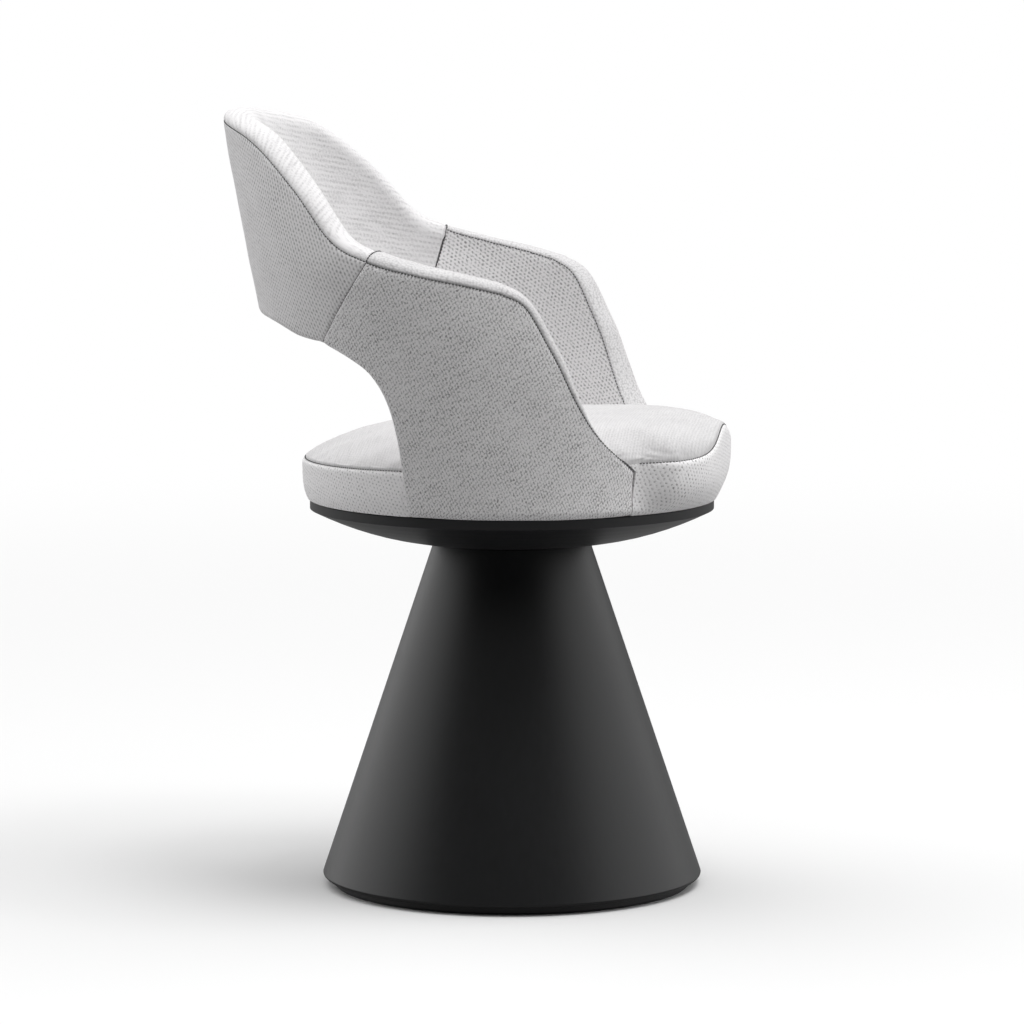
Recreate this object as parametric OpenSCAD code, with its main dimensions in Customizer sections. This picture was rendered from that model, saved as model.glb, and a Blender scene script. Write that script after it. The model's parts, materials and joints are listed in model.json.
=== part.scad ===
// Pedestal swivel armchair: an upholstered tub on a round seat, over a dish that turns on a cone.
// Millimetres, +Z up, front towards -Y. The origin is on the floor, on the swivel axis.

/* [Pedestal] */
// Radius of the cone at its foot
foot_r = 194; // [150:1:240]
// Radius of the cone at its neck
neck_r = 79; // [70:1:95]
// Height of the cone's neck above the floor
neck_z = 353.5; // [320:0.5:420]
// Wall of the cone, measured level
cone_wall = 12.5; // [10:0.5:16]
// Rounding of the cone's lower corner
cone_corner = 3.5; // [2:0.5:6]
// Inset of the plinth behind the cone's foot
plinth_inset = 10; // [6:1:12]
// Thickness of the felt pad under the plinth
pad_t = 2.5; // [1:0.5:5]
// Thickness of the steel base plate
plate_t = 6; // [4:1:12]
// Thickness of the plywood disc inside the foot
floor_t = 15; // [12:1:22]
// Height of the plywood collar inside the neck
collar_h = 15; // [10:1:25]
// Drop of the collar's top below the neck
collar_drop = 4.5; // [4:0.5:10]

/* [Column] */
// Radius of the column tube
tube_r = 30; // [28:1:34]
// Wall of the column tube
tube_wall = 4; // [3:0.5:5]
// Radius of the flange welded to the tube's foot
flange_r = 75; // [65:1:90]
// Thickness of that flange
flange_t = 8; // [6:1:12]
// Radius of the circle of flange bolts
flange_bolt_pitch_r = 55; // [48:1:58]
// Radius of a flange bolt's shank
flange_bolt_r = 5; // [4:0.5:6]

/* [Swivel] */
// Radius of the spindle
spindle_r = 12.5; // [10:0.5:15]
// Running clearance round the spindle
spindle_clear = 0.05; // [0.02:0.01:0.09]
// Wall of each bush
bush_wall = 3.4; // [2.5:0.1:4]
// Length of each bush
bush_len = 18; // [12:1:20]
// Length of the bearing head's sleeve inside the tube
sleeve_len = 30; // [24:1:40]
// Thickness of the bearing head's collar on top of the tube
head_t = 14; // [12:1:20]
// How far the bearing head's collar stands out past the tube
head_lip = 12; // [9:1:12]
// Radius of a bearing ball
ball_r = 3; // [2.5:0.1:3.5]
// Number of bearing balls
ball_count = 16; // [10:1:17]
// Radius of the circle the balls run on
ball_pitch_r = 25; // [25:0.5:27]
// Thickness of each bearing race
race_t = 4; // [3.5:0.5:5]
// Depth of the ball groove in each race
groove_depth = 0.6; // [0.4:0.1:1]

/* [Seat base] */
// Radius of the dish at its rim
dish_r = 206; // [195:1:225]
// Height of the dish's upright rim
rim_h = 10; // [9:1:14]
// Height of the dish from its flat bottom to the top of its rim
dish_h = 43; // [40:1:60]
// Radius of the dish's flat bottom
dish_flat_r = 80; // [75:1:90]
// Wall of the dish
dish_wall = 3; // [2:0.5:3.5]
// Gap between the cone's neck and the dish that turns above it
turn_gap = 1.5; // [1:0.5:4]
// Thickness of the swivel plate
swivel_plate_t = 5; // [4:0.5:7]
// Reach of the swivel plate's arms from the axis
swivel_arm_r = 112; // [100:1:130]
// Width of the swivel plate's arms
swivel_arm_w = 28; // [22:1:34]

/* [Seat cushion] */
// How far the cushion's bulge stands out past the dish in front
seat_front_over = 13; // [10:1:30]
// How far it stands out past the dish behind
seat_rear_over = 7.5; // [3:0.5:15]
// How far the cushion's lower edge stands out past the dish
seat_foot_over = 2; // [0:0.5:5]
// Half width that the front of the cushion is drawn to
seat_side = 176.5; // [165:0.5:190]
// Squareness of the cushion's front, 2 for an ellipse
seat_square = 3.6; // [2:0.1:5]
// Height of the boxing up to the top seam, at the axis
boxing_h = 50; // [40:1:60]
// Extra rise of the top seam at the middle of the front
seam_rise = 10.5; // [0:0.5:20]
// Height of the crown above the top seam, at the axis
crown_h = 34; // [20:1:45]
// Slope of the seat towards the front, in degrees
seat_tilt = 1.7; // [0:0.1:4]

/* [Tub] */
// Height of the tub from the seat board to its crest
tub_h = 392; // [340:1:430]
// How far the tub's foot stands out past the dish
tub_foot_over = 7; // [4:0.5:12]
// Half width of the tub at the armrests
tub_half_w = 243; // [230:1:260]
// Half width of the tub at its crest
tub_crest_half_w = 200; // [190:1:225]
// Half depth of the tub at its crest
tub_top_half_d = 205; // [190:1:213]
// Half depth that the tub's front half is drawn to above the seat
tub_front_half_d = 260; // [225:1:290]
// Backward lean of the tub, in degrees
tub_lean = 13; // [8:0.1:18]
// Thickness of the upholstered wall
wall_t = 36; // [33:1:40]
// Thickness of the moulded plywood core
core_t = 12; // [9:1:14]
// Height of the rounded band above the outer seam
band_h = 10.5; // [6:0.5:14]
// Height of the inner seam above the outer seam
inner_seam_h = 6.5; // [3:0.5:8]

/* [Hidden] */

// Finishes
black = [0.10, 0.105, 0.11];
steel = [0.62, 0.63, 0.65];
bronze = [0.66, 0.50, 0.28];
plywood = [0.76, 0.62, 0.43];
fabric = [0.80, 0.79, 0.78];
felt = [0.13, 0.13, 0.13];

round_fn = 96;
small_fn = 32;

// Overrun of every cut, and the gap left between pieces that touch
eps = 1;
fit_gap = 0.1;
pad_gap = 0.3;

// Heights of the pedestal
plate_top_z = pad_t + plate_t;
floor_top_z = plate_top_z + floor_t;
cone_rise = neck_z - plate_top_z;
cone_slope = (foot_r - neck_r) / cone_rise;
collar_top_z = neck_z - collar_drop;

// The dish and everything that turns with it is stacked up from the neck
dish_bottom_z = neck_z + turn_gap;
board_top_z = dish_bottom_z + dish_h;
board_bottom_z = board_top_z - rim_h;
board_t = board_top_z - board_bottom_z;
plate_low_z = board_bottom_z - swivel_plate_t;

// The thrust bearing sits with its upper race just above the dish's flat bottom
race_over = 2;
ball_clear = 0.1;
race_top_z = dish_bottom_z + race_over;
race_rise = 2 * (race_t + ball_r + ball_clear - groove_depth);
head_top_z = race_top_z - race_rise;
ball_z = head_top_z + race_rise / 2;
race_half_w = 5;
race_in_r = ball_pitch_r - race_half_w + fit_gap;
race_out_r = ball_pitch_r + race_half_w;
cage_half_w = 4;
cage_t = 2.2;

tube_top_z = head_top_z - head_t;
sleeve_low_z = tube_top_z - sleeve_len;
head_r = tube_r + head_lip;
bush_in_r = spindle_r + spindle_clear;
bush_out_r = bush_in_r + bush_wall;
head_bore_r = bush_out_r + spindle_clear;

// Spindle tail, its washer and its ring
washer_t = 2.5;
ring_t = 1.6;
ring_depth = 1.2;
ring_w = 3.5;
tail_len = 6;
washer_w = 8;
washer_top_z = sleeve_low_z - pad_gap;
ring_top_z = washer_top_z - washer_t;
spindle_low_z = ring_top_z - ring_t - tail_len;

// Swivel plate and its bolts
hub_lip = 1.5;
hub_r = race_out_r + hub_lip;
hub_room = 2.5;
dish_hole_r = hub_r + hub_room;
swivel_disc_r = 46;
plate_bolt_pitch_r = swivel_arm_r - swivel_arm_w / 2;
plate_bolt_r = 4;
insert_wall = 1.5;
insert_short = 1;
insert_len = board_t - insert_short;

// Dish screws stand on the square axes, between the swivel plate's arms
dish_screw_pitch_r = 61;
dish_screw_r = 3;
dish_spacer_r = 7.5;
screw_head_h = 2;

// Foot screws of the base plate
base_screw_pitch_r = 140;
base_screw_count = 6;
base_screw_r = 2.5;
base_screw_len = 14;

// Seat board and the plates under the arms
board_gap = 0.3;
board_r = dish_r - dish_wall - board_gap;
arm_plate_t = 5;
arm_bolt_r = 3;
arm_bolt_head_r = 5.5;
arm_bolt_head_h = 4;
arm_bolt_len = 24;

// Tub wall, layer by layer from the outside in
skin_t = (wall_t - core_t) / 2;
core_out = skin_t;
core_in = skin_t + core_t;
hem_r = 7;
core_lift = hem_r;
band_peak = band_h * 1.1;
tub_foot_r = dish_r + tub_foot_over;

// Each ruling runs from the lower edge to the outer seam of the tub:
// [angle from the back at the seam, height share, angle at the lower edge, height share]
ruling_shares = [
    [0, 0.980, 0, 0.476],
    [28, 0.960, 17, 0.474],
    [43.2, 0.916, 32, 0.466],
    [56, 0.817, 43.5, 0.443],
    [66.2, 0.694, 50, 0.433],
    [76, 0.648, 54.5, 0.426],
    [82.6, 0.629, 63.4, 0.391],
    [85.6, 0.623, 69, 0.350],
    [88, 0.618, 72.2, 0.275],
    [92.6, 0.607, 72.2, 0.172],
    [99.8, 0.590, 70.6, 0.071],
    [105.2, 0.575, 70.4, 0.002],
    [107.8, 0.565, 78, 0.002],
    [111.6, 0.534, 91, 0.002],
    [114.7, 0.430, 104, 0.002],
    [118.3, 0.302, 115.5, 0.002],
    [124.1, 0.203, 124.5, 0.002],
    [134.3, 0.114, 132.6, 0.002]];
foot_share = 0.002;
last_row = len(ruling_shares) - 1;
seam_row = 5;
foot_row = 11;
// Rows left free at a seam between two panels
seam_gap_rows = 0.03;
arm_steps = 2;
back_steps = 3;

// Shares of tub_h over which the half depth shrinks and the half width grows
depth_power_share = 1.6;
width_reach_share = 0.67;
width_power_share = 1.3;
// Shares of tub_h from which the width draws in towards the crest, and at which the front half reaches
// its own depth
narrow_from_share = 0.6;
narrow_power_share = 1.5;
narrow_most_share = 1.3;
front_reach_share = 0.4;
// Steps over which the directions of the wall's surface are measured, in rows, degrees and shares
row_step = 0.05;
turn_step = 0.5;
rise_step_share = 0.005;

// Rings of the boxing: [share of its height, share of the way from the foot's circle to the bulge,
// share of seam_draw]
boxing_profile_shares =
    [[0, 0, 0], [0.12, 0.45, 0], [0.4, 0.85, 0], [0.7, 0.98, 0], [0.88, 1, 0], [1, 1, 1]];
seam_draw = 5;
seam_rise_power = 6.5;
crown_ring_shares = [0.985, 0.95, 0.88, 0.72, 0.42];
crown_front_power = 9;
crown_rear_power = 2.2;
seat_points = 66;
seat_lift = 0.3;
seat_clear = 1;
// First row of the arm that comes down beside the cushion
arm_space_row = 8;
// Angles from the front over which the squared outline turns into the round one
seat_round_from = 60;
seat_round_over = 40;
seat_front = dish_r + seat_front_over;
seat_rear = dish_r + seat_rear_over;
seat_foot_r = dish_r + seat_foot_over;

function mix(a, b, t) = a + (b - a) * t;
function smooth(t) = let (u = min(max(t, 0), 1)) u * u * (3 - 2 * u);

// A row before the first mirrors the tub's other half, and one past the last runs straight on
function ruling_row(i) = i < 0
    ? let (r = ruling_shares[-i]) [-r[0], r[1], -r[2], r[3]]
    : i > last_row
    ? 2 * ruling_shares[last_row] - ruling_shares[last_row - 1]
    : ruling_shares[i];

// Smooth curve through the rows, at a fractional row number of the right half
function ruling_at(s) =
    let (i = min(floor(s), last_row - 1), t = s - i,
        p = ruling_row(i - 1), q = ruling_row(i), r = ruling_row(i + 1), v = ruling_row(i + 2))
    (2 * q + (r - p) * t + (2 * p - 5 * q + 4 * r - v) * t * t
        + (3 * q - p - 3 * r + v) * t * t * t) / 2;

// The tub's outer surface: a level ellipse, deeper in front, that shifts back as it rises
function tub_rear_depth(h) = tub_foot_r - (tub_foot_r - tub_top_half_d) * pow(h, depth_power_share);
function tub_front_depth(h) = mix(tub_foot_r, tub_front_half_d, smooth(h / front_reach_share));
function tub_spread(h) = (tub_half_w - tub_foot_r)
    * (1 - pow(1 - min(h / width_reach_share, 1), width_power_share));
function tub_narrowing(h) =
    let (t = (h - narrow_from_share) / (ruling_shares[0][1] - narrow_from_share))
    (tub_half_w - tub_crest_half_w) * pow(min(max(t, 0), narrow_most_share), narrow_power_share);
function tub_width(h) = tub_foot_r + tub_spread(h) - tub_narrowing(h);
function tub_point(angle, height_share, inset) =
    let (h = max(height_share, 0), depth = cos(angle) > 0 ? tub_rear_depth(h) : tub_front_depth(h))
    [-(tub_width(h) - inset) * sin(angle),
        (depth - inset) * cos(angle) + tan(tub_lean) * tub_h * h,
        board_top_z + tub_h * h];

// Way off the outer seam at row s, square to it in the wall's surface, as degrees and share of tub_h
// for each millimetre
function seam_out(s) =
    let (r = ruling_at(s), next = ruling_at(s + row_step), last = ruling_at(abs(s - row_step)),
        last_turn = s < row_step ? -last[0] : last[0],
        per_degree = norm(tub_point(r[0] + turn_step, r[1], wall_t / 2)
            - tub_point(r[0] - turn_step, r[1], wall_t / 2)) / (2 * turn_step),
        per_share = norm(tub_point(r[0], r[1] + rise_step_share, wall_t / 2)
            - tub_point(r[0], r[1] - rise_step_share, wall_t / 2)) / (2 * rise_step_share),
        along = [(next[0] - last_turn) * per_degree, (next[1] - last[1]) * per_share],
        way = along / norm(along))
    [-way[1] / per_degree, way[0] / per_share];

// A point of a ruling: share along it, distance past that share, inset from the outer surface. Above
// the outer seam the distance runs square to the seam, and elsewhere along the ruling
function over_crest(share, past) = share == 1 && past > 0;
function ruling_point(s, share, past, inset) =
    let (r = ruling_at(abs(s)), low = max(r[3], foot_share),
        side = s < 0 ? -1 : 1,
        span = norm(tub_point(r[0], r[1], wall_t / 2) - tub_point(r[2], low, wall_t / 2)),
        over = over_crest(share, past),
        v = share + (over ? 0 : past / span),
        out = over ? past * seam_out(abs(s)) : [0, 0])
    tub_point(side * (mix(r[2], r[0], v) + out[0]), mix(low, r[1], v) + out[1], inset);

// Height factor of the band, which dies out at the front foot of each arm
band_end_rows = 3;
band_end_share = 0.12;
function band_factor(s) =
    mix(1, band_end_share, smooth((abs(s) - last_row + band_end_rows) / band_end_rows));

// Row numbers that every layer of the wall shares, closer together round the back
all_rows = concat(
    [for (k = [-last_row * arm_steps:-seam_row * arm_steps - 1]) k / arm_steps],
    [for (k = [-seam_row * back_steps:seam_row * back_steps]) k / back_steps],
    [for (k = [seam_row * arm_steps + 1:last_row * arm_steps]) k / arm_steps]);
least_row = 0.1;
function rows(from, to) =
    [from, for (s = all_rows) if (s > from + least_row && s < to - least_row) s, to];

// Closed solid between an outer and an inner chain of points, given at a run of stations. Every side is
// cut along the diagonal that rises away from the tub's middle, so that neighbouring layers have the
// same facets
module loft(stations, middle = 0) {
    n = len(stations[0][0]);
    m = len(stations);
    ring = 2 * n;
    points = [for (st = stations) for (k = [0:ring - 1]) k < n ? st[0][k] : st[1][ring - 1 - k]];
    sides = [for (i = [0:m - 2]) for (k = [0:ring - 1])
        let (a = i * ring + k, b = i * ring + (k + 1) % ring)
        for (f = (i < middle) != (k >= n)
            ? [[a, b, a + ring], [b, b + ring, a + ring]]
            : [[a, b, b + ring], [a, b + ring, a + ring]]) f];
    ends = [for (i = [0, m - 1]) for (k = [0:n - 2])
        let (a = i * ring + k, b = a + 1, c = i * ring + ring - 2 - k, d = c + 1)
        for (f = i == 0 ? [[a, c, b], [a, d, c]] : [[a, b, c], [a, c, d]]) f];
    polyhedron(points = points, faces = concat(sides, ends), convexity = 8);
}

// A length of tub wall whose two chains are lists of [inset, share, distance past the share]
module tub_run(from, to, chain_a, chain_b)
    loft([for (s = rows(from, to)) [for (chain = [chain_a, chain_b])
        [for (p = chain) ruling_point(s, p[1], p[2] * (over_crest(p[1], p[2]) ? band_factor(s) : 1), p[0])]]],
        middle = len([for (s = rows(from, to)) if (s < 0) s]));

module tube(r_out, r_in, low, high)
    translate([0, 0, low])
        difference() {
            cylinder(r = r_out, h = high - low, $fn = round_fn);
            translate([0, 0, -eps])
                cylinder(r = r_in, h = high - low + 2 * eps, $fn = round_fn);
        }

module rod(r, low, high)
    translate([0, 0, low])
        cylinder(r = r, h = high - low, $fn = small_fn);

module ring_of(count, pitch_r, start = 0)
    for (k = [0:count - 1])
        rotate([0, 0, start + 360 * k / count])
            translate([pitch_r, 0, 0])
                children();

// Pedestal

module floor_pad()
    color(felt)
        cylinder(r = foot_r - plinth_inset - pad_t, h = pad_t, $fn = round_fn);

module base_plate()
    color(black)
        difference() {
            translate([0, 0, pad_t])
                cylinder(r = foot_r - plinth_inset, h = plate_t, $fn = round_fn);
            ring_of(4, flange_bolt_pitch_r, 45)
                rod(flange_bolt_r + fit_gap, pad_t - eps, plate_top_z + eps);
            ring_of(base_screw_count, base_screw_pitch_r)
                base_screw_space(fit_gap);
        }

// A countersunk screw driven up through the base plate
module base_screw_space(grow) {
    rod(base_screw_r + grow, pad_t + grow, plate_top_z + base_screw_len);
    translate([0, 0, pad_t - grow])
        cylinder(r1 = 2 * (base_screw_r + grow), r2 = base_screw_r + grow, h = base_screw_r + grow,
            $fn = small_fn);
}

module base_screws()
    color(steel)
        ring_of(base_screw_count, base_screw_pitch_r)
            base_screw_space(0);

function cone_in_r(z) = foot_r - cone_wall - (z - plate_top_z) * cone_slope;

module cone_floor()
    color(plywood)
        difference() {
            translate([0, 0, plate_top_z])
                cylinder(r1 = cone_in_r(plate_top_z) - fit_gap, r2 = cone_in_r(floor_top_z) - fit_gap,
                    h = floor_t, $fn = round_fn);
            ring_of(4, flange_bolt_pitch_r, 45)
                rod(flange_bolt_r + fit_gap, plate_top_z - eps, floor_top_z + eps);
            ring_of(base_screw_count, base_screw_pitch_r)
                base_screw_space(fit_gap);
        }

module cone_shell()
    color(black)
        rotate_extrude($fn = round_fn)
            difference() {
                polygon([
                    [foot_r - cone_wall, plate_top_z],
                    [foot_r - cone_corner, plate_top_z],
                    for (a = [-60:30:0])
                        [foot_r - cone_corner + cone_corner * cos(a),
                            plate_top_z + cone_corner + cone_corner * sin(a)],
                    [neck_r + cone_corner / 4, neck_z - cone_corner / 4],
                    [neck_r - cone_corner / 4, neck_z],
                    [neck_r - cone_wall, neck_z]]);
                // Chamfer inside the mouth, clear of the heads of the dish screws
                translate([neck_r - cone_wall, neck_z])
                    circle(r = collar_drop / 2, $fn = small_fn);
            }

module neck_collar()
    color(plywood)
        translate([0, 0, collar_top_z - collar_h])
            difference() {
                cylinder(r1 = cone_in_r(collar_top_z - collar_h) - fit_gap,
                    r2 = cone_in_r(collar_top_z) - fit_gap, h = collar_h, $fn = round_fn);
                translate([0, 0, -eps])
                    cylinder(r = head_r + pad_gap, h = collar_h + 2 * eps, $fn = round_fn);
            }

module column()
    color(steel)
        difference() {
            union() {
                rod_big(tube_r, floor_top_z, tube_top_z);
                rod_big(flange_r, floor_top_z, floor_top_z + flange_t);
            }
            rod_big(tube_r - tube_wall, floor_top_z - eps, tube_top_z + eps);
            ring_of(4, flange_bolt_pitch_r, 45)
                rod(flange_bolt_r + fit_gap, floor_top_z - eps, floor_top_z + flange_t + eps);
        }

module rod_big(r, low, high)
    translate([0, 0, low])
        cylinder(r = r, h = high - low, $fn = round_fn);

module column_bolts()
    color(steel)
        ring_of(4, flange_bolt_pitch_r, 45) {
            rod(flange_bolt_r, pad_t, floor_top_z + flange_t);
            translate([0, 0, floor_top_z + flange_t])
                cylinder(r = flange_bolt_r * 1.7, h = flange_bolt_r * 1.3, $fn = 6);
        }

module bearing_head()
    color(steel)
        difference() {
            union() {
                rod_big(tube_r - tube_wall - spindle_clear, sleeve_low_z, tube_top_z);
                rod_big(head_r, tube_top_z, head_top_z);
            }
            rod_big(head_bore_r, sleeve_low_z - eps, head_top_z + eps);
        }

module lower_bush()
    color(bronze)
        tube(bush_out_r, bush_in_r, sleeve_low_z, sleeve_low_z + bush_len);

module upper_bush()
    color(bronze)
        tube(bush_out_r, bush_in_r, head_top_z - bush_len, head_top_z);

// Thrust bearing

module race(low)
    rotate_extrude($fn = round_fn)
        difference() {
            translate([race_in_r, low])
                square([race_out_r - race_in_r, race_t]);
            translate([ball_pitch_r, ball_z])
                circle(r = ball_r + ball_clear, $fn = small_fn);
        }

module lower_race()
    color(steel)
        race(head_top_z);

module upper_race()
    color(steel)
        race(race_top_z - race_t);

module ball_cage()
    color(bronze)
        difference() {
            tube(ball_pitch_r + cage_half_w, ball_pitch_r - cage_half_w,
                ball_z - cage_t / 2, ball_z + cage_t / 2);
            ring_of(ball_count, ball_pitch_r)
                rod(ball_r + ball_clear, ball_z - cage_t, ball_z + cage_t);
        }

module bearing_balls()
    color(steel)
        ring_of(ball_count, ball_pitch_r)
            translate([0, 0, ball_z])
                sphere(r = ball_r, $fn = small_fn);

// Seat base

module spindle()
    color(steel)
        rotate_extrude($fn = round_fn)
            polygon([
                [0, spindle_low_z],
                [spindle_r - ring_depth, spindle_low_z],
                [spindle_r, spindle_low_z + ring_depth],
                [spindle_r, ring_top_z - ring_t],
                [spindle_r - ring_depth, ring_top_z - ring_t],
                [spindle_r - ring_depth, ring_top_z],
                [spindle_r, ring_top_z],
                [spindle_r, board_bottom_z],
                [0, board_bottom_z]]);

module thrust_washer()
    color(bronze)
        tube(spindle_r + washer_w, bush_in_r, ring_top_z, washer_top_z);

// Spring clip in the spindle's groove, with its gap
module retaining_ring()
    color(steel)
        difference() {
            tube(spindle_r + ring_w - ring_depth, spindle_r - ring_depth + spindle_clear,
                ring_top_z - ring_t, ring_top_z);
            translate([0, -ring_w / 2, ring_top_z - ring_t - eps])
                cube([2 * spindle_r, ring_w, ring_t + 2 * eps]);
        }

module swivel_plate()
    color(steel)
        difference() {
            union() {
                rod_big(hub_r, race_top_z, board_bottom_z);
                rod_big(swivel_disc_r, plate_low_z, board_bottom_z);
                intersection() {
                    rod_big(swivel_arm_r, plate_low_z, board_bottom_z);
                    for (a = [45, 135])
                        rotate([0, 0, a])
                            translate([-swivel_arm_r, -swivel_arm_w / 2, plate_low_z])
                                cube([2 * swivel_arm_r, swivel_arm_w, swivel_plate_t]);
                }
            }
            rod_big(spindle_r + spindle_clear, race_top_z - eps, board_bottom_z + eps);
            ring_of(4, plate_bolt_pitch_r, 45)
                rod(plate_bolt_r + fit_gap, plate_low_z - eps, board_bottom_z + eps);
        }

module plate_bolts()
    color(steel)
        ring_of(4, plate_bolt_pitch_r, 45) {
            rod(plate_bolt_r, plate_low_z, board_top_z - insert_short / 2);
            translate([0, 0, plate_low_z - plate_bolt_r * 1.3])
                cylinder(r = plate_bolt_r * 1.75, h = plate_bolt_r * 1.3, $fn = 6);
        }

module board_inserts()
    color(bronze)
        ring_of(4, plate_bolt_pitch_r, 45)
            tube(plate_bolt_r + insert_wall, plate_bolt_r + fit_gap,
                board_bottom_z, board_bottom_z + insert_len);

// The bowl of the dish, from its flat bottom to its upright rim, as [radius, height] at a share of the way
dish_bowl_rise = dish_h - rim_h;
dish_bowl_power = 1.9;
function dish_bowl(share, inset) =
    [mix(dish_flat_r, dish_r, share) - inset * share,
        dish_bottom_z + dish_bowl_rise * pow(share, dish_bowl_power) + inset * (1 - share * share)];

module dish()
    color(black)
        difference() {
            rotate_extrude($fn = round_fn)
                polygon([
                    [dish_hole_r, dish_bottom_z],
                    for (k = [0:1:10]) dish_bowl(k / 10, 0),
                    [dish_r, board_top_z - dish_wall / 3],
                    [dish_r - dish_wall / 3, board_top_z],
                    [dish_r - dish_wall, board_top_z],
                    [dish_r - dish_wall, board_bottom_z],
                    for (k = [10:-1:0]) dish_bowl(k / 10, dish_wall) - [k == 10 ? dish_wall : 0, 0],
                    [dish_hole_r, dish_bottom_z + dish_wall]]);
            ring_of(4, dish_screw_pitch_r)
                rod(dish_screw_r + fit_gap, dish_bottom_z - eps, dish_bottom_z + dish_wall + eps);
        }

module dish_spacers()
    color(steel)
        ring_of(4, dish_screw_pitch_r)
            tube(dish_spacer_r, dish_screw_r + fit_gap, dish_bottom_z + dish_wall, board_bottom_z);

module dish_screws()
    color(steel)
        ring_of(4, dish_screw_pitch_r) {
            rod(dish_screw_r, dish_bottom_z, board_bottom_z + board_t * 0.8);
            rod(2 * dish_screw_r, dish_bottom_z - screw_head_h, dish_bottom_z);
        }

module seat_board()
    color(plywood)
        difference() {
            rod_big(board_r, board_bottom_z, board_top_z);
            ring_of(4, plate_bolt_pitch_r, 45)
                rod(plate_bolt_r + insert_wall + fit_gap, board_bottom_z - eps, board_top_z + eps);
            ring_of(4, dish_screw_pitch_r)
                rod(dish_screw_r + fit_gap, board_bottom_z - eps, board_bottom_z + board_t * 0.8 + fit_gap);
            for (side = [-1, 1])
                arm_bolt_places(side) {
                    rod(arm_bolt_r + fit_gap, board_bottom_z - eps, board_top_z + eps);
                    rod(arm_bolt_head_r + pad_gap, board_bottom_z - eps,
                        board_bottom_z + arm_bolt_head_h + fit_gap);
                }
        }

// Arm plates and bolts: an arc of the foot between the arm's two lower corners, in the middle of the
// wall at the top of the plate and thin enough for the wall's drift over the plate's height
arm_plate_drift = tub_width(arm_plate_t / tub_h) - tub_width(0);
arm_plate_half_t = core_t / 2 - pad_gap - arm_plate_drift;
arm_mid_r = tub_width(arm_plate_t / tub_h) - wall_t / 2;
arm_rear_angle = ruling_shares[foot_row][2];
arm_front_angle = ruling_shares[last_row][2];
arm_span = arm_front_angle - arm_rear_angle;
arm_plate_margin = 4;

module arm_bolt_places(side)
    for (share = [0.15, 0.5, 0.85])
        rotate([0, 0, 90 + side * (arm_rear_angle + arm_span * share)])
            translate([arm_mid_r, 0, 0])
                children();

module arm_plate(side)
    color(steel)
        difference() {
            translate([0, 0, board_top_z])
                rotate([0, 0, 90 + (side > 0 ? arm_rear_angle : -arm_front_angle) + arm_plate_margin])
                    rotate_extrude(angle = arm_span - 2 * arm_plate_margin, $fn = round_fn)
                        translate([arm_mid_r - arm_plate_half_t, 0])
                            square([2 * arm_plate_half_t, arm_plate_t]);
            arm_bolt_places(side)
                rod(arm_bolt_r + fit_gap, board_top_z - eps, board_top_z + arm_plate_t + eps);
        }

module arm_plate_left() arm_plate(-1);
module arm_plate_right() arm_plate(1);

module arm_bolts()
    color(steel)
        for (side = [-1, 1])
            arm_bolt_places(side) {
                rod(arm_bolt_r, board_bottom_z, board_bottom_z + arm_bolt_len);
                rod(arm_bolt_head_r, board_bottom_z, board_bottom_z + arm_bolt_head_h);
            }

// Seat cushion

// Plan radius of the cushion at an angle from the front
function seat_front_r(angle) =
    let (c = abs(cos(angle)) / seat_front, s = abs(sin(angle)) / seat_side)
    pow(pow(c, seat_square) + pow(s, seat_square), -1 / seat_square);
function seat_r(angle) =
    mix(seat_front_r(min(angle, 90)), seat_rear, smooth((angle - seat_round_from) / seat_round_over));
function seat_point(angle, r, z) =
    [r * sin(angle), -r * cos(angle), z];
function seat_seam_z(r, angle) =
    board_top_z + boxing_h + tan(seat_tilt) * r * cos(angle)
        + seam_rise * pow(max(cos(angle), 0), seam_rise_power);
function seat_top_z(r, angle) = board_top_z + boxing_h + crown_h + tan(seat_tilt) * r * cos(angle);
function crown_power(angle) = mix(crown_rear_power, crown_front_power, (1 + cos(angle)) / 2);

function boxing_ring(p) = [for (k = [0:seat_points - 1])
    let (turn = 360 * k / seat_points, angle = turn > 180 ? 360 - turn : turn,
        r = mix(seat_foot_r, seat_r(angle), p[1]) - seam_draw * p[2],
        low = board_top_z + seat_lift)
    seat_point(turn, r, mix(low, seat_seam_z(r, angle), p[0]))];
function crown_ring(share) = [for (k = [0:seat_points - 1])
    let (turn = 360 * k / seat_points, angle = turn > 180 ? 360 - turn : turn,
        edge = seat_r(angle) - seam_draw,
        r = edge * share,
        lift = sqrt(1 - pow(share, crown_power(angle))))
    seat_point(turn, r, mix(seat_seam_z(edge, angle), seat_top_z(r, angle), lift))];

module cushion_form() {
    rings = concat([for (p = boxing_profile_shares) boxing_ring(p)],
        [for (share = crown_ring_shares) crown_ring(share)]);
    n = seat_points;
    m = len(rings);
    low = m * n;
    top = low + 1;
    points = concat([for (r = rings) for (p = r) p],
        [[0, 0, board_top_z + seat_lift], [0, 0, seat_top_z(0, 0)]]);
    sides = [for (i = [0:m - 2]) for (k = [0:n - 1])
        let (a = i * n + k, b = i * n + (k + 1) % n)
        for (f = [[a, b + n, b], [a, a + n, b + n]]) f];
    floor_fan = [for (k = [0:n - 1]) [low, k, (k + 1) % n]];
    top_fan = [for (k = [0:n - 1]) [top, (m - 1) * n + (k + 1) % n, (m - 1) * n + k]];
    polyhedron(points = points, faces = concat(sides, floor_fan, top_fan), convexity = 6);
}

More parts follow.
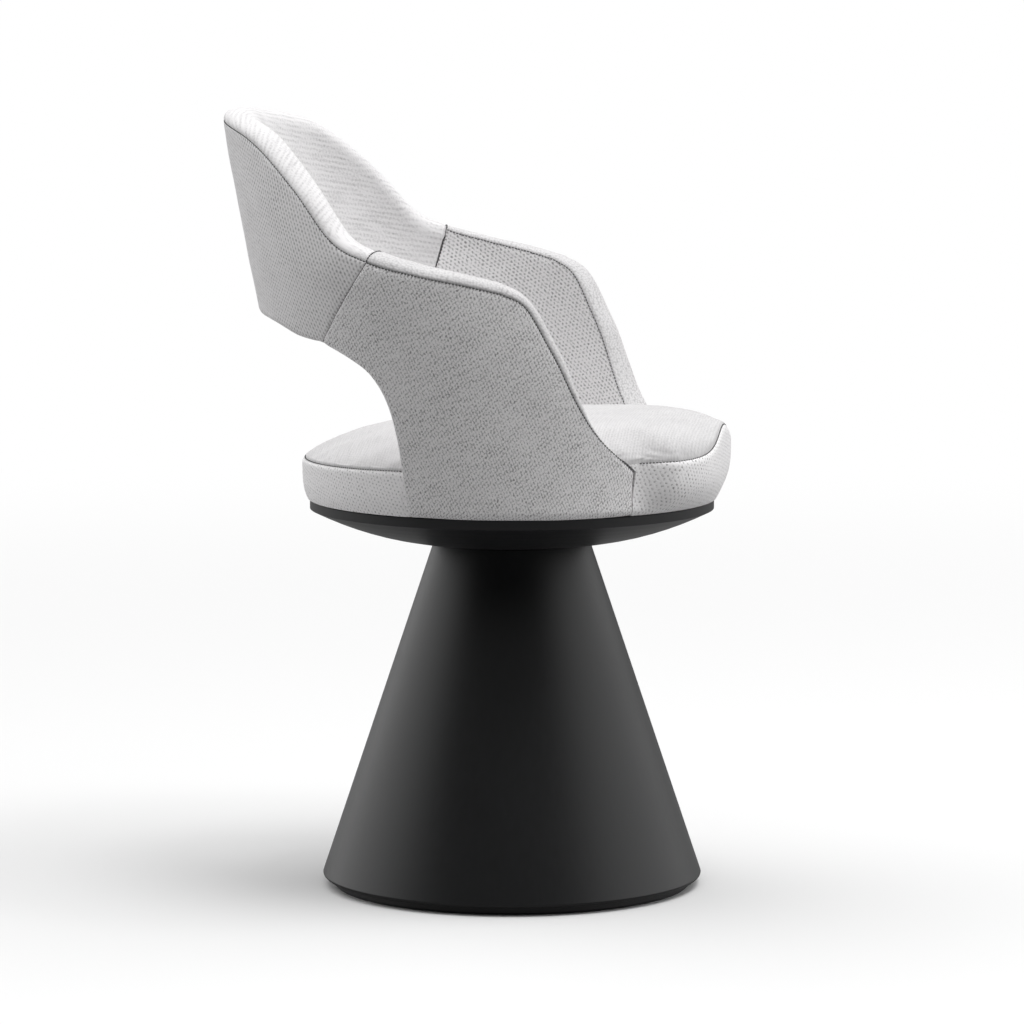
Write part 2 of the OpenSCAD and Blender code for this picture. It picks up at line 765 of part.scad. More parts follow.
// Space that an arm's foot takes out of the cushion, with the same rows and shares as the arm's pads
module arm_space() {
    shares = [[0, -seat_clear], [0, hem_r], [0.33, 0], [0.66, 0], [1, 0]];
    runs = [for (s = rows(arm_space_row, last_row)) [for (inset = [-wall_t, wall_t + seat_clear])
        [for (p = concat(shares, [[1, band_peak * band_factor(s) + seat_clear]]))
            ruling_point(s, p[0], p[1], inset)]]];
    end = runs[len(runs) - 1];
    loft(concat(runs, [[for (chain = end) [for (p = chain) p - [0, seat_clear, 0]]]]));
}

module seat_cushion()
    color(fabric)
        difference() {
            cushion_form();
            arm_space();
            mirror([1, 0, 0])
                arm_space();
        }

// Tub

function core_chain(inset) =
    [[inset, 0, core_lift], [inset, 0.33, 0], [inset, 0.66, 0], [inset, 1, -pad_gap]];

module tub_core()
    color(plywood)
        tub_run(-last_row, last_row, core_chain(core_out + pad_gap), core_chain(core_in - pad_gap));

outer_chain_a = [[skin_t / 2, 0, 0], [0, 0, hem_r], [0, 0.33, 0], [0, 0.66, 0], [0, 1, 0]];
outer_chain_b = [[skin_t, 0, 0], [skin_t, 0, hem_r], [skin_t, 0.33, 0], [skin_t, 0.66, 0], [skin_t, 1, 0]];

module outer_back_pad()
    color(fabric)
        tub_run(-seam_row, seam_row, outer_chain_a, outer_chain_b);

module outer_arm_pad()
    color(fabric)
        tub_run(seam_row + seam_gap_rows, last_row, outer_chain_a, outer_chain_b);

module outer_arm_pad_right() outer_arm_pad();
module outer_arm_pad_left()
    mirror([1, 0, 0])
        outer_arm_pad();

// The inner back panel runs from under the core up its inner face and rolls over the crest to the
// outer seam
inner_back_chain_a = [
    [skin_t + pad_gap, 0, core_lift - pad_gap], [core_in, 0, core_lift - pad_gap], [core_in, 0, hem_r],
    [core_in, 0.33, 0], [core_in, 0.66, 0], [core_in, 1, 0], [core_in, 1, pad_gap],
    [core_in - skin_t / 4, 1, pad_gap], [skin_t, 1, pad_gap], [skin_t / 3, 1, pad_gap],
    [skin_t / 8, 1, pad_gap]];
inner_back_chain_b = [
    [skin_t + pad_gap, 0, 0], [wall_t - skin_t / 2, 0, 0], [wall_t, 0, hem_r],
    [wall_t, 0.33, 0], [wall_t, 0.66, 0], [wall_t, 1, 0], [wall_t - skin_t / 4, 1, band_h * 0.6],
    [core_in, 1, band_h], [skin_t, 1, band_h], [skin_t / 5, 1, band_h * 0.6], [0, 1, pad_gap]];

module inner_back_pad()
    color(fabric)
        tub_run(-seam_row, seam_row, inner_back_chain_a, inner_back_chain_b);

inner_arm_chain_a = [[core_in, 0, 0], [core_in, 0, hem_r], [core_in, 0.33, 0], [core_in, 0.66, 0],
    [core_in, 1, 0], [core_in, 1, inner_seam_h]];
inner_arm_chain_b = [[wall_t - skin_t / 2, 0, 0], [wall_t, 0, hem_r], [wall_t, 0.33, 0], [wall_t, 0.66, 0],
    [wall_t, 1, 0], [wall_t, 1, inner_seam_h]];

module inner_arm_pad()
    color(fabric)
        tub_run(seam_row + seam_gap_rows, last_row, inner_arm_chain_a, inner_arm_chain_b);

module inner_arm_pad_right() inner_arm_pad();
module inner_arm_pad_left()
    mirror([1, 0, 0])
        inner_arm_pad();

band_chain_a = [
    [0, 1, pad_gap], [skin_t / 5, 1, band_h * 0.6], [skin_t, 1, band_h], [core_in, 1, band_peak],
    [wall_t - skin_t / 5, 1, band_h * 0.95], [wall_t, 1, inner_seam_h + pad_gap]];
band_chain_b = [[skin_t / 8, 1, pad_gap], [skin_t / 2, 1, pad_gap], [skin_t, 1, pad_gap],
    [core_in - pad_gap, 1, pad_gap], [core_in - pad_gap, 1, inner_seam_h + pad_gap],
    [wall_t - skin_t / 8, 1, inner_seam_h + pad_gap]];

module arm_band()
    color(fabric)
        tub_run(seam_row + seam_gap_rows, last_row, band_chain_a, band_chain_b);

module arm_band_right() arm_band();
module arm_band_left()
    mirror([1, 0, 0])
        arm_band();

floor_pad();
base_plate();
base_screws();
cone_floor();
cone_shell();
neck_collar();
column();
column_bolts();
bearing_head();
lower_bush();
upper_bush();
lower_race();
ball_cage();
bearing_balls();
upper_race();
spindle();
thrust_washer();
retaining_ring();
swivel_plate();
plate_bolts();
board_inserts();
dish();
dish_spacers();
dish_screws();
seat_board();
arm_plate_left();
arm_plate_right();
arm_bolts();
seat_cushion();
tub_core();
outer_back_pad();
inner_back_pad();
outer_arm_pad_left();
outer_arm_pad_right();
inner_arm_pad_left();
inner_arm_pad_right();
arm_band_left();
arm_band_right();
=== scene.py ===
# %% [markdown]
# A pedestal swivel armchair: an upholstered tub on a crowned round seat, over a black dish that turns
# on a black cone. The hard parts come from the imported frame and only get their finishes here. The soft
# parts are modelled again as padded panels of cloth, each in the space of the plain solid it replaces.
# Everything is in metres, +Z up, with the front of the seat towards -Y and the origin on the floor.

# %% Load the frame
import json
import math

import bmesh
import bpy
import numpy as np
from mathutils import Matrix, Vector
from mathutils.bvhtree import BVHTree


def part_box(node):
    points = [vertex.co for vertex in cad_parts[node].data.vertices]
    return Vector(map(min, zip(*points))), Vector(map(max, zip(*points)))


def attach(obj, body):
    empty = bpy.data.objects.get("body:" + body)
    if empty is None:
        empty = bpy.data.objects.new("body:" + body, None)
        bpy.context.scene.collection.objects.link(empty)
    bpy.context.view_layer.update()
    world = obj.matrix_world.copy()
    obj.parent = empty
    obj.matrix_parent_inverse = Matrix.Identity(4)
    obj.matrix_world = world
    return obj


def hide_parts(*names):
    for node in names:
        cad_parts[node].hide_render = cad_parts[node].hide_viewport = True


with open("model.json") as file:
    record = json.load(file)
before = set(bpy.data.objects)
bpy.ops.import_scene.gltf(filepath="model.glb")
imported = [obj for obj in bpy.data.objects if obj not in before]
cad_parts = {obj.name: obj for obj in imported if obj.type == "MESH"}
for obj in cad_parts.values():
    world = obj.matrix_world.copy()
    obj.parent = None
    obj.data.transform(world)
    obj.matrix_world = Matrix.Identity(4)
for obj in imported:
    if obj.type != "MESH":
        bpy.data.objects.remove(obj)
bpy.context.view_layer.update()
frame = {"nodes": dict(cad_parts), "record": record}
MM = 0.001

# %% [markdown]
# The camera stands where the photographer stood: a long lens about five metres away, just ahead of the
# chair's right side and a little above seat height. A long lens keeps the cone's sides straight and the
# two arms nearly the same size, as a product photograph does.

# %% Camera
CAMERA_PLACE = Vector((-5.2418, -0.7834, 1.0))
CAMERA_TARGET = Vector((0, 0, 0.3824))
LENS_MM = 183.85


def make_camera():
    lens = bpy.data.cameras.new("camera")
    lens.lens = LENS_MM
    lens.sensor_width = 36
    lens.clip_end = 60
    camera = bpy.data.objects.new("camera", lens)
    bpy.context.scene.collection.objects.link(camera)
    camera.location = CAMERA_PLACE
    camera.rotation_euler = (CAMERA_TARGET - CAMERA_PLACE).to_track_quat("-Z", "Y").to_euler()
    bpy.context.scene.camera = camera


make_camera()
print("camera", round((CAMERA_TARGET - CAMERA_PLACE).length, 2), "m away")

# %% [markdown]
# Shader maths reads best as arithmetic. Value wraps a socket, so that a + b or 1 - a adds the Math node
# it needs, and Finish is a material with one method that adds any other node. Numbers that never vary
# are worked out in Python and set on the shader's own sockets.


# %% Values and finishes
class Value:
    """A number that varies over a surface."""

    def __init__(self, finish, socket):
        self.finish = finish
        self.socket = socket

    def math(self, operation, *others):
        return self.finish.node("ShaderNodeMath", {"operation": operation}, [self, *others])

    def __add__(self, other):
        return self.math("ADD", other)

    def __sub__(self, other):
        return self.math("SUBTRACT", other)

    def __rsub__(self, other):
        return self.finish.node("ShaderNodeMath", {"operation": "SUBTRACT"}, [other, self])

    def __mul__(self, other):
        return self.math("MULTIPLY", other)

    __radd__ = __add__
    __rmul__ = __mul__


class Finish:
    """A material, and the one way to add nodes to it."""

    def __init__(self, name, **surface):
        self.material = bpy.data.materials.new(name)
        self.material.use_nodes = True
        self.tree = self.material.node_tree
        self.shader = self.tree.nodes["Principled BSDF"]
        for socket, value in surface.items():
            self.shader.inputs[socket.replace("_", " ").title()].default_value = value

    def node(self, kind, settings=None, inputs=(), output=0):
        made = self.tree.nodes.new(kind)
        for key, value in (settings or {}).items():
            if key == "stops":
                ramp = made.color_ramp
                while len(ramp.elements) < len(value):
                    ramp.elements.new(0.5)
                for element, (place, colour) in zip(ramp.elements, value):
                    element.position = place
                    element.color = (*colour, 1)
            else:
                setattr(made, key, value)
        named = inputs.items() if isinstance(inputs, dict) else enumerate(inputs)
        for key, value in named:
            if isinstance(value, Value):
                self.tree.links.new(value.socket, made.inputs[key])
            elif value is not None:
                made.inputs[key].default_value = value
        return Value(self, made.outputs[output])

    def feed(self, socket, value):
        self.tree.links.new(value.socket, self.shader.inputs[socket])

    def noise(self, place, scale, detail=2, roughness=0.5):
        return self.node("ShaderNodeTexNoise", {"noise_dimensions": "3D"},
                         {"Vector": place, "Scale": scale, "Detail": detail, "Roughness": roughness})

    def stretched(self, place, scale, turn=0):
        """A place scaled by a different amount each way, after a turn in its plane, in degrees."""
        if turn:
            place = self.node("ShaderNodeMapping", {"vector_type": "POINT"},
                              {"Vector": place, "Rotation": (0, 0, math.radians(turn))})
        return self.node("ShaderNodeVectorMath", {"operation": "MULTIPLY"}, [place, scale])

    def bump(self, height, strength, distance):
        self.feed("Normal", self.node("ShaderNodeBump", inputs={
            "Height": height, "Strength": strength, "Distance": distance}))


print("shader helpers ready")

# %% [markdown]
# The stage is a plain white floor that fades into a white room, so that no horizon shows. The light is
# that of a small studio: one broad lamp high above the front draws the soft shadow behind the chair, and
# large pale screens stand beyond its two ends and overhead. The camera's side is dark, which gives the
# near arm its grey and the cone its black middle between two lighter edges. The floor throws less light
# up than the camera sees, because a real studio's white paper is only a narrow strip.

# %% Stage
FLOOR_SIZE = 60
FLOOR_WHITE_FROM = 1.2
FLOOR_WHITE_AT = 4.0
FLOOR_COLOUR = 0.80
FLOOR_BOUNCE = 0.3
LAMPS = {"key": ((-0.15, -0.30, 0.94), 100)}
LAMP_SIZE = 2.6
LAMP_DISTANCE = 5.0
LAMP_TARGET = Vector((0, 0, 0.4))
SCREEN_EDGES = (0.4, 1.05)
SCREENS = {"rear": ((0.3, 0.95, 0.15), 1.65), "front": ((0.3, -0.95, 0.15), 1.5), "above": ((0, 0, 1), 1.3)}


def make_floor():
    bm = bmesh.new()
    bmesh.ops.create_grid(bm, x_segments=1, y_segments=1, size=FLOOR_SIZE / 2)
    mesh = bpy.data.meshes.new("floor")
    bm.to_mesh(mesh)
    bm.free()
    floor = bpy.data.objects.new("floor", mesh)
    bpy.context.scene.collection.objects.link(floor)
    finish = Finish("floor", roughness=0.9, base_color=(FLOOR_COLOUR,) * 3 + (1,))
    place = finish.node("ShaderNodeTexCoord", output=3)
    away = finish.node("ShaderNodeVectorMath", {"operation": "LENGTH"}, [place], output=1)
    far = finish.node("ShaderNodeMapRange", {"interpolation_type": "SMOOTHSTEP"},
                      {"Value": away, "From Min": FLOOR_WHITE_FROM, "From Max": FLOOR_WHITE_AT})
    dim = finish.tree.nodes.new("ShaderNodeBsdfDiffuse")
    dim.inputs["Color"].default_value = (FLOOR_BOUNCE,) * 3 + (1,)
    seen = finish.node("ShaderNodeLightPath")
    white = finish.tree.nodes.new("ShaderNodeEmission")
    lit = finish.node("ShaderNodeMixShader", None, {"Fac": far, 1: Value(finish, finish.shader.outputs[0]),
                                                    2: Value(finish, white.outputs[0])})
    mixed = finish.node("ShaderNodeMixShader", None, {"Fac": seen, 1: Value(finish, dim.outputs[0]), 2: lit})
    finish.tree.links.new(mixed.socket, finish.tree.nodes["Material Output"].inputs["Surface"])
    mesh.materials.append(finish.material)


def make_lamp(name, towards, watts):
    lamp = bpy.data.lights.new(name, "AREA")
    lamp.shape = "DISK"
    lamp.size = LAMP_SIZE
    lamp.energy = watts
    shown = bpy.data.objects.new(name, lamp)
    bpy.context.scene.collection.objects.link(shown)
    shown.location = LAMP_TARGET + towards.normalized() * LAMP_DISTANCE
    shown.rotation_euler = (-towards).to_track_quat("-Z", "Y").to_euler()
    shown.visible_camera = False


def make_room():
    """White for the camera, and for the light a dark room with a pale screen in each named direction."""
    world = bpy.data.worlds.new("room")
    bpy.context.scene.world = world
    world.use_nodes = True
    nodes, links = world.node_tree.nodes, world.node_tree.links
    nodes.clear()
    place = nodes.new("ShaderNodeTexCoord")
    room = nodes.new("ShaderNodeBackground")
    total = None
    for towards, strength in SCREENS.values():
        facing = nodes.new("ShaderNodeVectorMath")
        facing.operation = "DOT_PRODUCT"
        facing.inputs[1].default_value = Vector(towards).normalized()
        links.new(place.outputs["Generated"], facing.inputs[0])
        glow = nodes.new("ShaderNodeMapRange")
        glow.interpolation_type = "SMOOTHSTEP"
        for socket, value in zip(("From Min", "From Max", "To Max"), (*SCREEN_EDGES, strength)):
            glow.inputs[socket].default_value = value
        links.new(facing.outputs["Value"], glow.inputs["Value"])
        added = nodes.new("ShaderNodeMath")
        links.new(glow.outputs["Result"], added.inputs[0])
        added.inputs[1].default_value = 0
        if total:
            links.new(total.outputs[0], added.inputs[1])
        total = added
    links.new(total.outputs[0], room.inputs["Strength"])
    white = nodes.new("ShaderNodeBackground")
    path = nodes.new("ShaderNodeLightPath")
    mixed = nodes.new("ShaderNodeMixShader")
    out = nodes.new("ShaderNodeOutputWorld")
    links.new(path.outputs["Is Camera Ray"], mixed.inputs["Fac"])
    links.new(room.outputs[0], mixed.inputs[1])
    links.new(white.outputs[0], mixed.inputs[2])
    links.new(mixed.outputs[0], out.inputs["Surface"])
    for background in (room, white):
        background.inputs["Color"].default_value = (1, 1, 1, 1)


make_floor()
for name, (towards, watts) in LAMPS.items():
    make_lamp(name, Vector(towards), watts)
make_room()
bpy.context.scene.view_settings.view_transform = "Standard"
print("stage set with", len(LAMPS), "lamps and", len(SCREENS), "screens")
# %% [markdown]
# The cloth is a thick light-grey hopsack: pale yarns cross over and under each other and leave small
# dark gaps in a staggered lattice, 4.6 mm apart along a row, with rows 4 mm apart. Cosines along the
# cloth's own UV map, which is in metres, give the lattice, slow noise bends the yarns, and fine noise
# frays them. The same value colours the cloth and lifts it as a bump, so that the dark gaps are also
# the low places. On the outside of the arms the lattice is finer and turned inside out, into pale knots
# on a darker ground under long slanting flecks. On the bands the yarns are pushed out of line, so there
# the lattice gives way to cells of no fixed order, a small light knot in each.

# %% Cloth
GAPS_ACROSS = 4.6
GAPS_UP = 8.0
GAP_COLOUR = (0.16, 0.15, 0.155)
SHADE_COLOUR = (0.56, 0.55, 0.555)
YARN_COLOUR = (0.90, 0.888, 0.894)
HEIGHTS_COLOURED = ((0.10, GAP_COLOUR), (0.34, SHADE_COLOUR), (0.60, YARN_COLOUR))


def lattice_of_gaps(finish, place, across, up, wander, twill, rows):
    """1 in the middle of a gap, -1 on top of a yarn. twill strengthens one diagonal, rows the level lines."""
    yarns = finish.stretched(place, (1 / across, 1 / up, 0))
    bend = finish.node("ShaderNodeTexNoise", {"noise_dimensions": "3D"},
                       {"Vector": place, "Scale": 1.1 / across, "Detail": 1}, output=1)
    bent = finish.node("ShaderNodeVectorMath", {"operation": "MULTIPLY_ADD"},
                       [bend, (wander, wander * across / up, 0), yarns])
    parts = finish.tree.nodes.new("ShaderNodeSeparateXYZ")
    finish.tree.links.new(bent.socket, parts.inputs[0])
    u, v = (Value(finish, parts.outputs[k]) * (2 * math.pi) for k in (0, 1))
    weft = v.math("COSINE")
    lattice = u.math("COSINE") * weft + (weft * weft - 0.5) * rows
    return lattice + u.math("SINE") * v.math("SINE") * twill if twill else lattice


def cells_of_yarn(finish, place, across, disorder):
    """-1 on the knot in the middle of each cell, up to 1 between the cells."""
    cells = finish.node("ShaderNodeTexVoronoi", {"voronoi_dimensions": "2D", "feature": "SMOOTH_F1"},
                        {"Vector": place, "Scale": 1 / across, "Randomness": disorder, "Smoothness": 0.35})
    return cells * 3.2 - 1


def cloth(name, turn=0, across=GAPS_ACROSS, up=GAPS_UP, wander=0.25, gaps=0.6, twill=0.0, rows=0.5,
          disorder=0.0, fray=0.5, flecks=0.15, slant=0, level=0.5, painted_light=1.0):
    """Hopsack. turn is its angle in the panel, gaps is how dark the gaps are, or below 0 how pale knots
    stand there instead, fray roughens the yarns, and flecks are long streaks at an angle. level moves the
    pattern along the colour ramp, which shapes the knots and, where it is raised, lightens the whole as
    painted light. The last factor scales every colour, as painted light above 1 and painted shade below 1."""
    finish = Finish(name, roughness=0.92, sheen_weight=0.2, sheen_roughness=0.55)
    place = finish.stretched(finish.node("ShaderNodeUVMap", {"uv_map": "cloth"}), (1 / MM,) * 3, turn)
    if disorder:
        dark = cells_of_yarn(finish, place, across, disorder)
    else:
        dark = lattice_of_gaps(finish, place, across, up, wander, twill, rows)
    height = level - dark * (gaps * 0.5) + (finish.noise(place, 0.45, 3, 0.7) - 0.5) * fray
    streaks = finish.noise(finish.stretched(place, (0.035, 0.30, 1), slant), 1.0, 2) - 0.5
    clouds = finish.noise(place, 0.024, 1) - 0.5
    # The ramp's colours are scaled per panel by the last factor, which paints light on some panels and shade
    # on others.
    finish.feed("Base Color", finish.node("ShaderNodeValToRGB", {"stops": [
        (at, tuple(c * painted_light for c in colour)) for at, colour in HEIGHTS_COLOURED]},
        [height + streaks * flecks + clouds * 0.12]))
    finish.bump(height, 0.5, 0.6 * MM)
    return finish.material


# Each panel's last factor is painted light and shade on one and the same cloth. The seat top, the bands and
# the inner back with its crest are darkened as painted shade where the overhead light falls strongest. The
# outer arms and the boxing, whose level is also raised, are lightened as painted light where it falls
# weakest.
CLOTH_OUTER_ARM = cloth("cloth_outer_arm", turn=20, across=3.7, up=6.2, wander=0.9, gaps=-0.56,
                        rows=0.3, fray=1.5, flecks=0.4, slant=-37, level=0.54, painted_light=1.04)
CLOTH_OUTER_BACK = cloth("cloth_outer_back", turn=17, gaps=0.42, twill=-0.3, wander=0.4, flecks=0.25,
                         slant=-12, level=0.53)
CLOTH_INNER_BACK = cloth("cloth_inner_back", turn=-8, up=10.4, wander=0.5, gaps=0.08, rows=2.4, flecks=0.35,
                         slant=-8, level=0.55, painted_light=0.92)
CLOTH_INNER_ARM = cloth("cloth_inner_arm", turn=-13, up=7.2, wander=0.6, gaps=0.5, twill=-0.2, rows=0.4,
                        fray=1.3, level=0.56)
CLOTH_SEAT = cloth("cloth_seat", up=5.7, gaps=0.05, rows=2.4, fray=0.4, level=0.52, painted_light=0.78)
CLOTH_BOXING = cloth("cloth_boxing", turn=10, up=7.2, wander=0.5, gaps=0.46, twill=-0.15,
                     fray=1.3, level=0.63, painted_light=1.08)
CLOTH_BAND = cloth("cloth_band", across=2.8, disorder=0.8, gaps=0.2, fray=0.4, level=0.54, painted_light=0.82)
print("cloth finishes:", [m.name for m in bpy.data.materials if m.name.startswith("cloth")])

# %% [markdown]
# The cone is veneer stained black under a satin lacquer, so smooth that the grain is only a faint
# streak in the gloss. The dish and the base plate are powder-coated steel with a very fine pebble. The
# parts inside are zinc-plated steel, sintered bronze and birch ply, seen only when the chair is opened.


# %% Hard finishes
def satin_black(name, colour, roughness, grain, depth, strength):
    finish = Finish(name)
    finish.shader.inputs["Specular IOR Level"].default_value = 0.45
    place = finish.node("ShaderNodeTexCoord", output=3)
    fine = finish.noise(finish.stretched(place, grain), 1.0, 4, 0.6)
    cloud = finish.noise(place, 9.0, 2)
    dark = tuple(c * 0.8 for c in colour)
    light = tuple(c * 1.25 for c in colour)
    finish.feed("Base Color", finish.node("ShaderNodeValToRGB", {"stops": [
        (0.3, dark), (0.7, light)]}, [fine * 0.6 + cloud * 0.4]))
    finish.feed("Roughness", roughness + (fine - 0.5) * 0.06 + (cloud - 0.5) * 0.05)
    finish.bump(fine, strength, depth)
    return finish.material


def metal(name, colour, roughness, brushed=(900, 900, 60)):
    finish = Finish(name, metallic=1.0)
    place = finish.node("ShaderNodeTexCoord", output=3)
    lines = finish.noise(finish.stretched(place, brushed), 1.0, 3)
    finish.feed("Base Color", finish.node("ShaderNodeValToRGB", {"stops": [
        (0.2, tuple(c * 0.85 for c in colour)), (0.8, colour)]}, [lines]))
    finish.feed("Roughness", roughness + (lines - 0.5) * 0.16)
    finish.bump(lines, 0.08, 0.05 * MM)
    return finish.material


def birch_ply():
    finish = Finish("birch_ply", roughness=0.6)
    place = finish.node("ShaderNodeTexCoord", output=3)
    plies = finish.node("ShaderNodeTexWave", {"bands_direction": "Z", "wave_profile": "TRI"},
                        {"Vector": place, "Scale": 210, "Distortion": 0.6, "Detail": 2})
    grain = finish.noise(finish.stretched(place, (60, 900, 900)), 1.0, 4)
    finish.feed("Base Color", finish.node("ShaderNodeValToRGB", {"stops": [
        (0.1, (0.40, 0.27, 0.15)), (0.9, (0.70, 0.53, 0.33))]}, [plies * 0.55 + grain * 0.45]))
    finish.bump(grain, 0.2, 0.1 * MM)
    return finish.material


def felt():
    finish = Finish("black_felt", roughness=0.95, sheen_weight=0.3)
    place = finish.node("ShaderNodeTexCoord", output=3)
    fibres = finish.noise(place, 1400, 4, 0.7)
    finish.feed("Base Color", finish.node("ShaderNodeValToRGB", {"stops": [
        (0.3, (0.008, 0.008, 0.009)), (0.8, (0.035, 0.035, 0.037))]}, [fibres]))
    finish.bump(fibres, 0.5, 0.3 * MM)
    return finish.material


HARD_FINISHES = {
    "black_wood": satin_black("black_veneer", (0.006, 0.0063, 0.007), 0.40, (240, 240, 3.5),
                              0.02 * MM, 0.06),
    "black_metal": satin_black("black_powder_coat", (0.009, 0.0092, 0.0105), 0.42, (1100, 1100, 1100),
                               0.05 * MM, 0.15),
    "plywood": birch_ply(),
    "steel": metal("zinc_steel", (0.62, 0.63, 0.65), 0.34),
    "bronze": metal("sintered_bronze", (0.55, 0.37, 0.17), 0.45, (700, 700, 700)),
    "felt": felt(),
}


def dress_hard_nodes():
    slots = {part["node"]: part["material_slot"] for part in frame["record"]["subparts"]}
    dressed = 0
    for name, node in frame["nodes"].items():
        if slots[name] in HARD_FINISHES:
            node.data.materials.clear()
            node.data.materials.append(HARD_FINISHES[slots[name]])
            dressed += 1
    return dressed


print("hard nodes dressed:", dress_hard_nodes())

# %% [markdown]
# The tub is one upholstered wall that leans back and flares. At every height its outer face is a level
# ellipse, deeper in front than behind. Straight rulings run over it from the lower edge to the seam
# along its top, and a short table of their ends gives the tall back, the sloping arms and the gap behind
# the seat. With a place on the wall given as a row number and a distance along its ruling, every panel
# of cloth is a plain grid that is laid over the wall, which is how a flat cutting pattern becomes a
# curved panel on the real chair.

# %% Tub wall
BOARD_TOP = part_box("seat_board")[1].z
TUB_H = 392 * MM
TUB_FOOT_R = 213 * MM
TUB_HALF_WIDTH = 243 * MM
TUB_CREST_HALF_WIDTH = 200 * MM
TUB_CREST_DEPTH = 205 * MM
TUB_FRONT_DEPTH = 260 * MM
TUB_LEAN = math.radians(13)
WALL = 36 * MM
SKIN = 11.7 * MM
HEM = 7 * MM
PAD_GAP = 0.3 * MM
BAND_H = 10.5 * MM
INNER_SEAM_H = 6.5 * MM
SEAM_ROW = 5
LAST_ROW = 17
FOOT_SHARE = 0.002
FRONT_FLARE_SHARE = 0.4
CREST_DEPTH_POWER = 1.6
WIDEST_SHARE = 0.67
FLARE_POWER = 1.3
NARROW_FROM = 0.6
NARROW_MOST = 1.3
NARROW_POWER = 1.5
BAND_LOSS = 0.88
BAND_LOSS_ROWS = 3
ROW_STEP = 0.05

# Ends of the rulings: angle from the back and share of the height, at the seam and at the lower edge
RULING_SHARES = np.array([
    (0, 0.980, 0, 0.482), (28, 0.960, 17, 0.480), (43.2, 0.916, 32, 0.473), (56, 0.817, 43.5, 0.451),
    (66.2, 0.694, 50, 0.441), (76, 0.648, 54.5, 0.434), (82.6, 0.629, 63.4, 0.399),
    (85.6, 0.623, 69, 0.358), (88, 0.618, 72.2, 0.282), (92.6, 0.607, 72.2, 0.176),
    (99.8, 0.590, 70.6, 0.071), (105.2, 0.575, 70.4, 0.002), (107.8, 0.565, 78, 0.002),
    (111.6, 0.534, 91, 0.002), (114.7, 0.430, 104, 0.002), (118.3, 0.302, 115.5, 0.002),
    (124.1, 0.203, 124.5, 0.002), (134.3, 0.114, 132.6, 0.002)])


def mix(a, b, t):
    return a + (b - a) * t


def smooth_share(t):
    t = np.clip(t, 0, 1)
    return t * t * (3 - 2 * t)


def curve_between(rows, t):
    """Smooth curve from the second of four rows to the third, at a share t of the way."""
    p, q, r, v = rows
    return (2 * q + (r - p) * t + (2 * p - 5 * q + 4 * r - v) * t ** 2 + (3 * q - p - 3 * r + v) * t ** 3) / 2


def ruling_at(s):
    """Ends of the rulings at fractional rows s, on a smooth curve through the table's rows."""
    first = RULING_SHARES[1] * (-1, 1, -1, 1)
    past_last = 2 * RULING_SHARES[-1] - RULING_SHARES[-2]
    table = np.vstack([first, RULING_SHARES, past_last])
    s = np.abs(s)
    row = np.clip(np.floor(s).astype(int), 0, LAST_ROW - 1)
    return curve_between([table[row + k] for k in range(4)], (s - row)[..., None])


def tub_depth(h, ahead):
    """Half depth of the tub at a share of its height, for its front half or for its back."""
    front = mix(TUB_FOOT_R, TUB_FRONT_DEPTH, smooth_share(h / FRONT_FLARE_SHARE))
    return np.where(ahead, front, TUB_FOOT_R - (TUB_FOOT_R - TUB_CREST_DEPTH) * h ** CREST_DEPTH_POWER)


def tub_width(h):
    """Half width: the tub flares up to the armrests and draws in again towards the crest."""
    spread = (TUB_HALF_WIDTH - TUB_FOOT_R) * (1 - (1 - np.minimum(h / WIDEST_SHARE, 1)) ** FLARE_POWER)
    over = np.clip((h - NARROW_FROM) / (RULING_SHARES[0, 1] - NARROW_FROM), 0, NARROW_MOST)
    return TUB_FOOT_R + spread - (TUB_HALF_WIDTH - TUB_CREST_HALF_WIDTH) * over ** NARROW_POWER


def tub_point(angle, h, inset):
    """Place on the wall: degrees from the back, share of the height, metres inside the outer face."""
    h = np.clip(h, 0, None)
    turn = np.radians(angle)
    depth = tub_depth(h, np.cos(turn) <= 0) - inset
    return np.stack([-(tub_width(h) - inset) * np.sin(turn),
                     depth * np.cos(turn) + math.tan(TUB_LEAN) * TUB_H * h,
                     BOARD_TOP + TUB_H * h + 0 * turn], -1)


def seam_out(s):
    """Way off the top seam, square to it in the wall: degrees and share of the height for a metre."""
    s = np.abs(s)
    angle, h = np.moveaxis(ruling_at(s), -1, 0)[:2]
    ahead, behind = ruling_at(s + ROW_STEP), ruling_at(s - ROW_STEP)
    mirror = np.where(s < ROW_STEP, -1, 1)
    metres = [np.linalg.norm(tub_point(angle + a, h + b, WALL / 2) - tub_point(angle - a, h - b, WALL / 2),
                             axis=-1) / (2 * (a + b)) for a, b in ((0.5, 0), (0, 0.005))]
    along = ((ahead[..., 0] - mirror * behind[..., 0]) * metres[0],
             (ahead[..., 1] - behind[..., 1]) * metres[1])
    length = np.hypot(*along)
    return -along[1] / length / metres[0], along[0] / length / metres[1]


def wall_point(s, share, past, inset):
    """Place on ruling s: a share of the way up it, then a distance further, then inwards. Above the top
    seam the distance runs square to the seam, and elsewhere along the ruling."""
    top_angle, top_h, low_angle, low_h = np.moveaxis(ruling_at(s), -1, 0)
    low_h = np.maximum(low_h, FOOT_SHARE)
    run = tub_point(top_angle, top_h, WALL / 2) - tub_point(low_angle, low_h, WALL / 2)
    over = (share == 1) & (past > 0)
    v = share + np.where(over, 0, past) / np.linalg.norm(run, axis=-1)
    out_angle, out_h = (np.where(over, past, 0) * way for way in seam_out(s))
    angle = mix(low_angle, top_angle, v) + out_angle
    return tub_point(np.where(s < 0, -1, 1) * angle, mix(low_h, top_h, v) + out_h, inset)


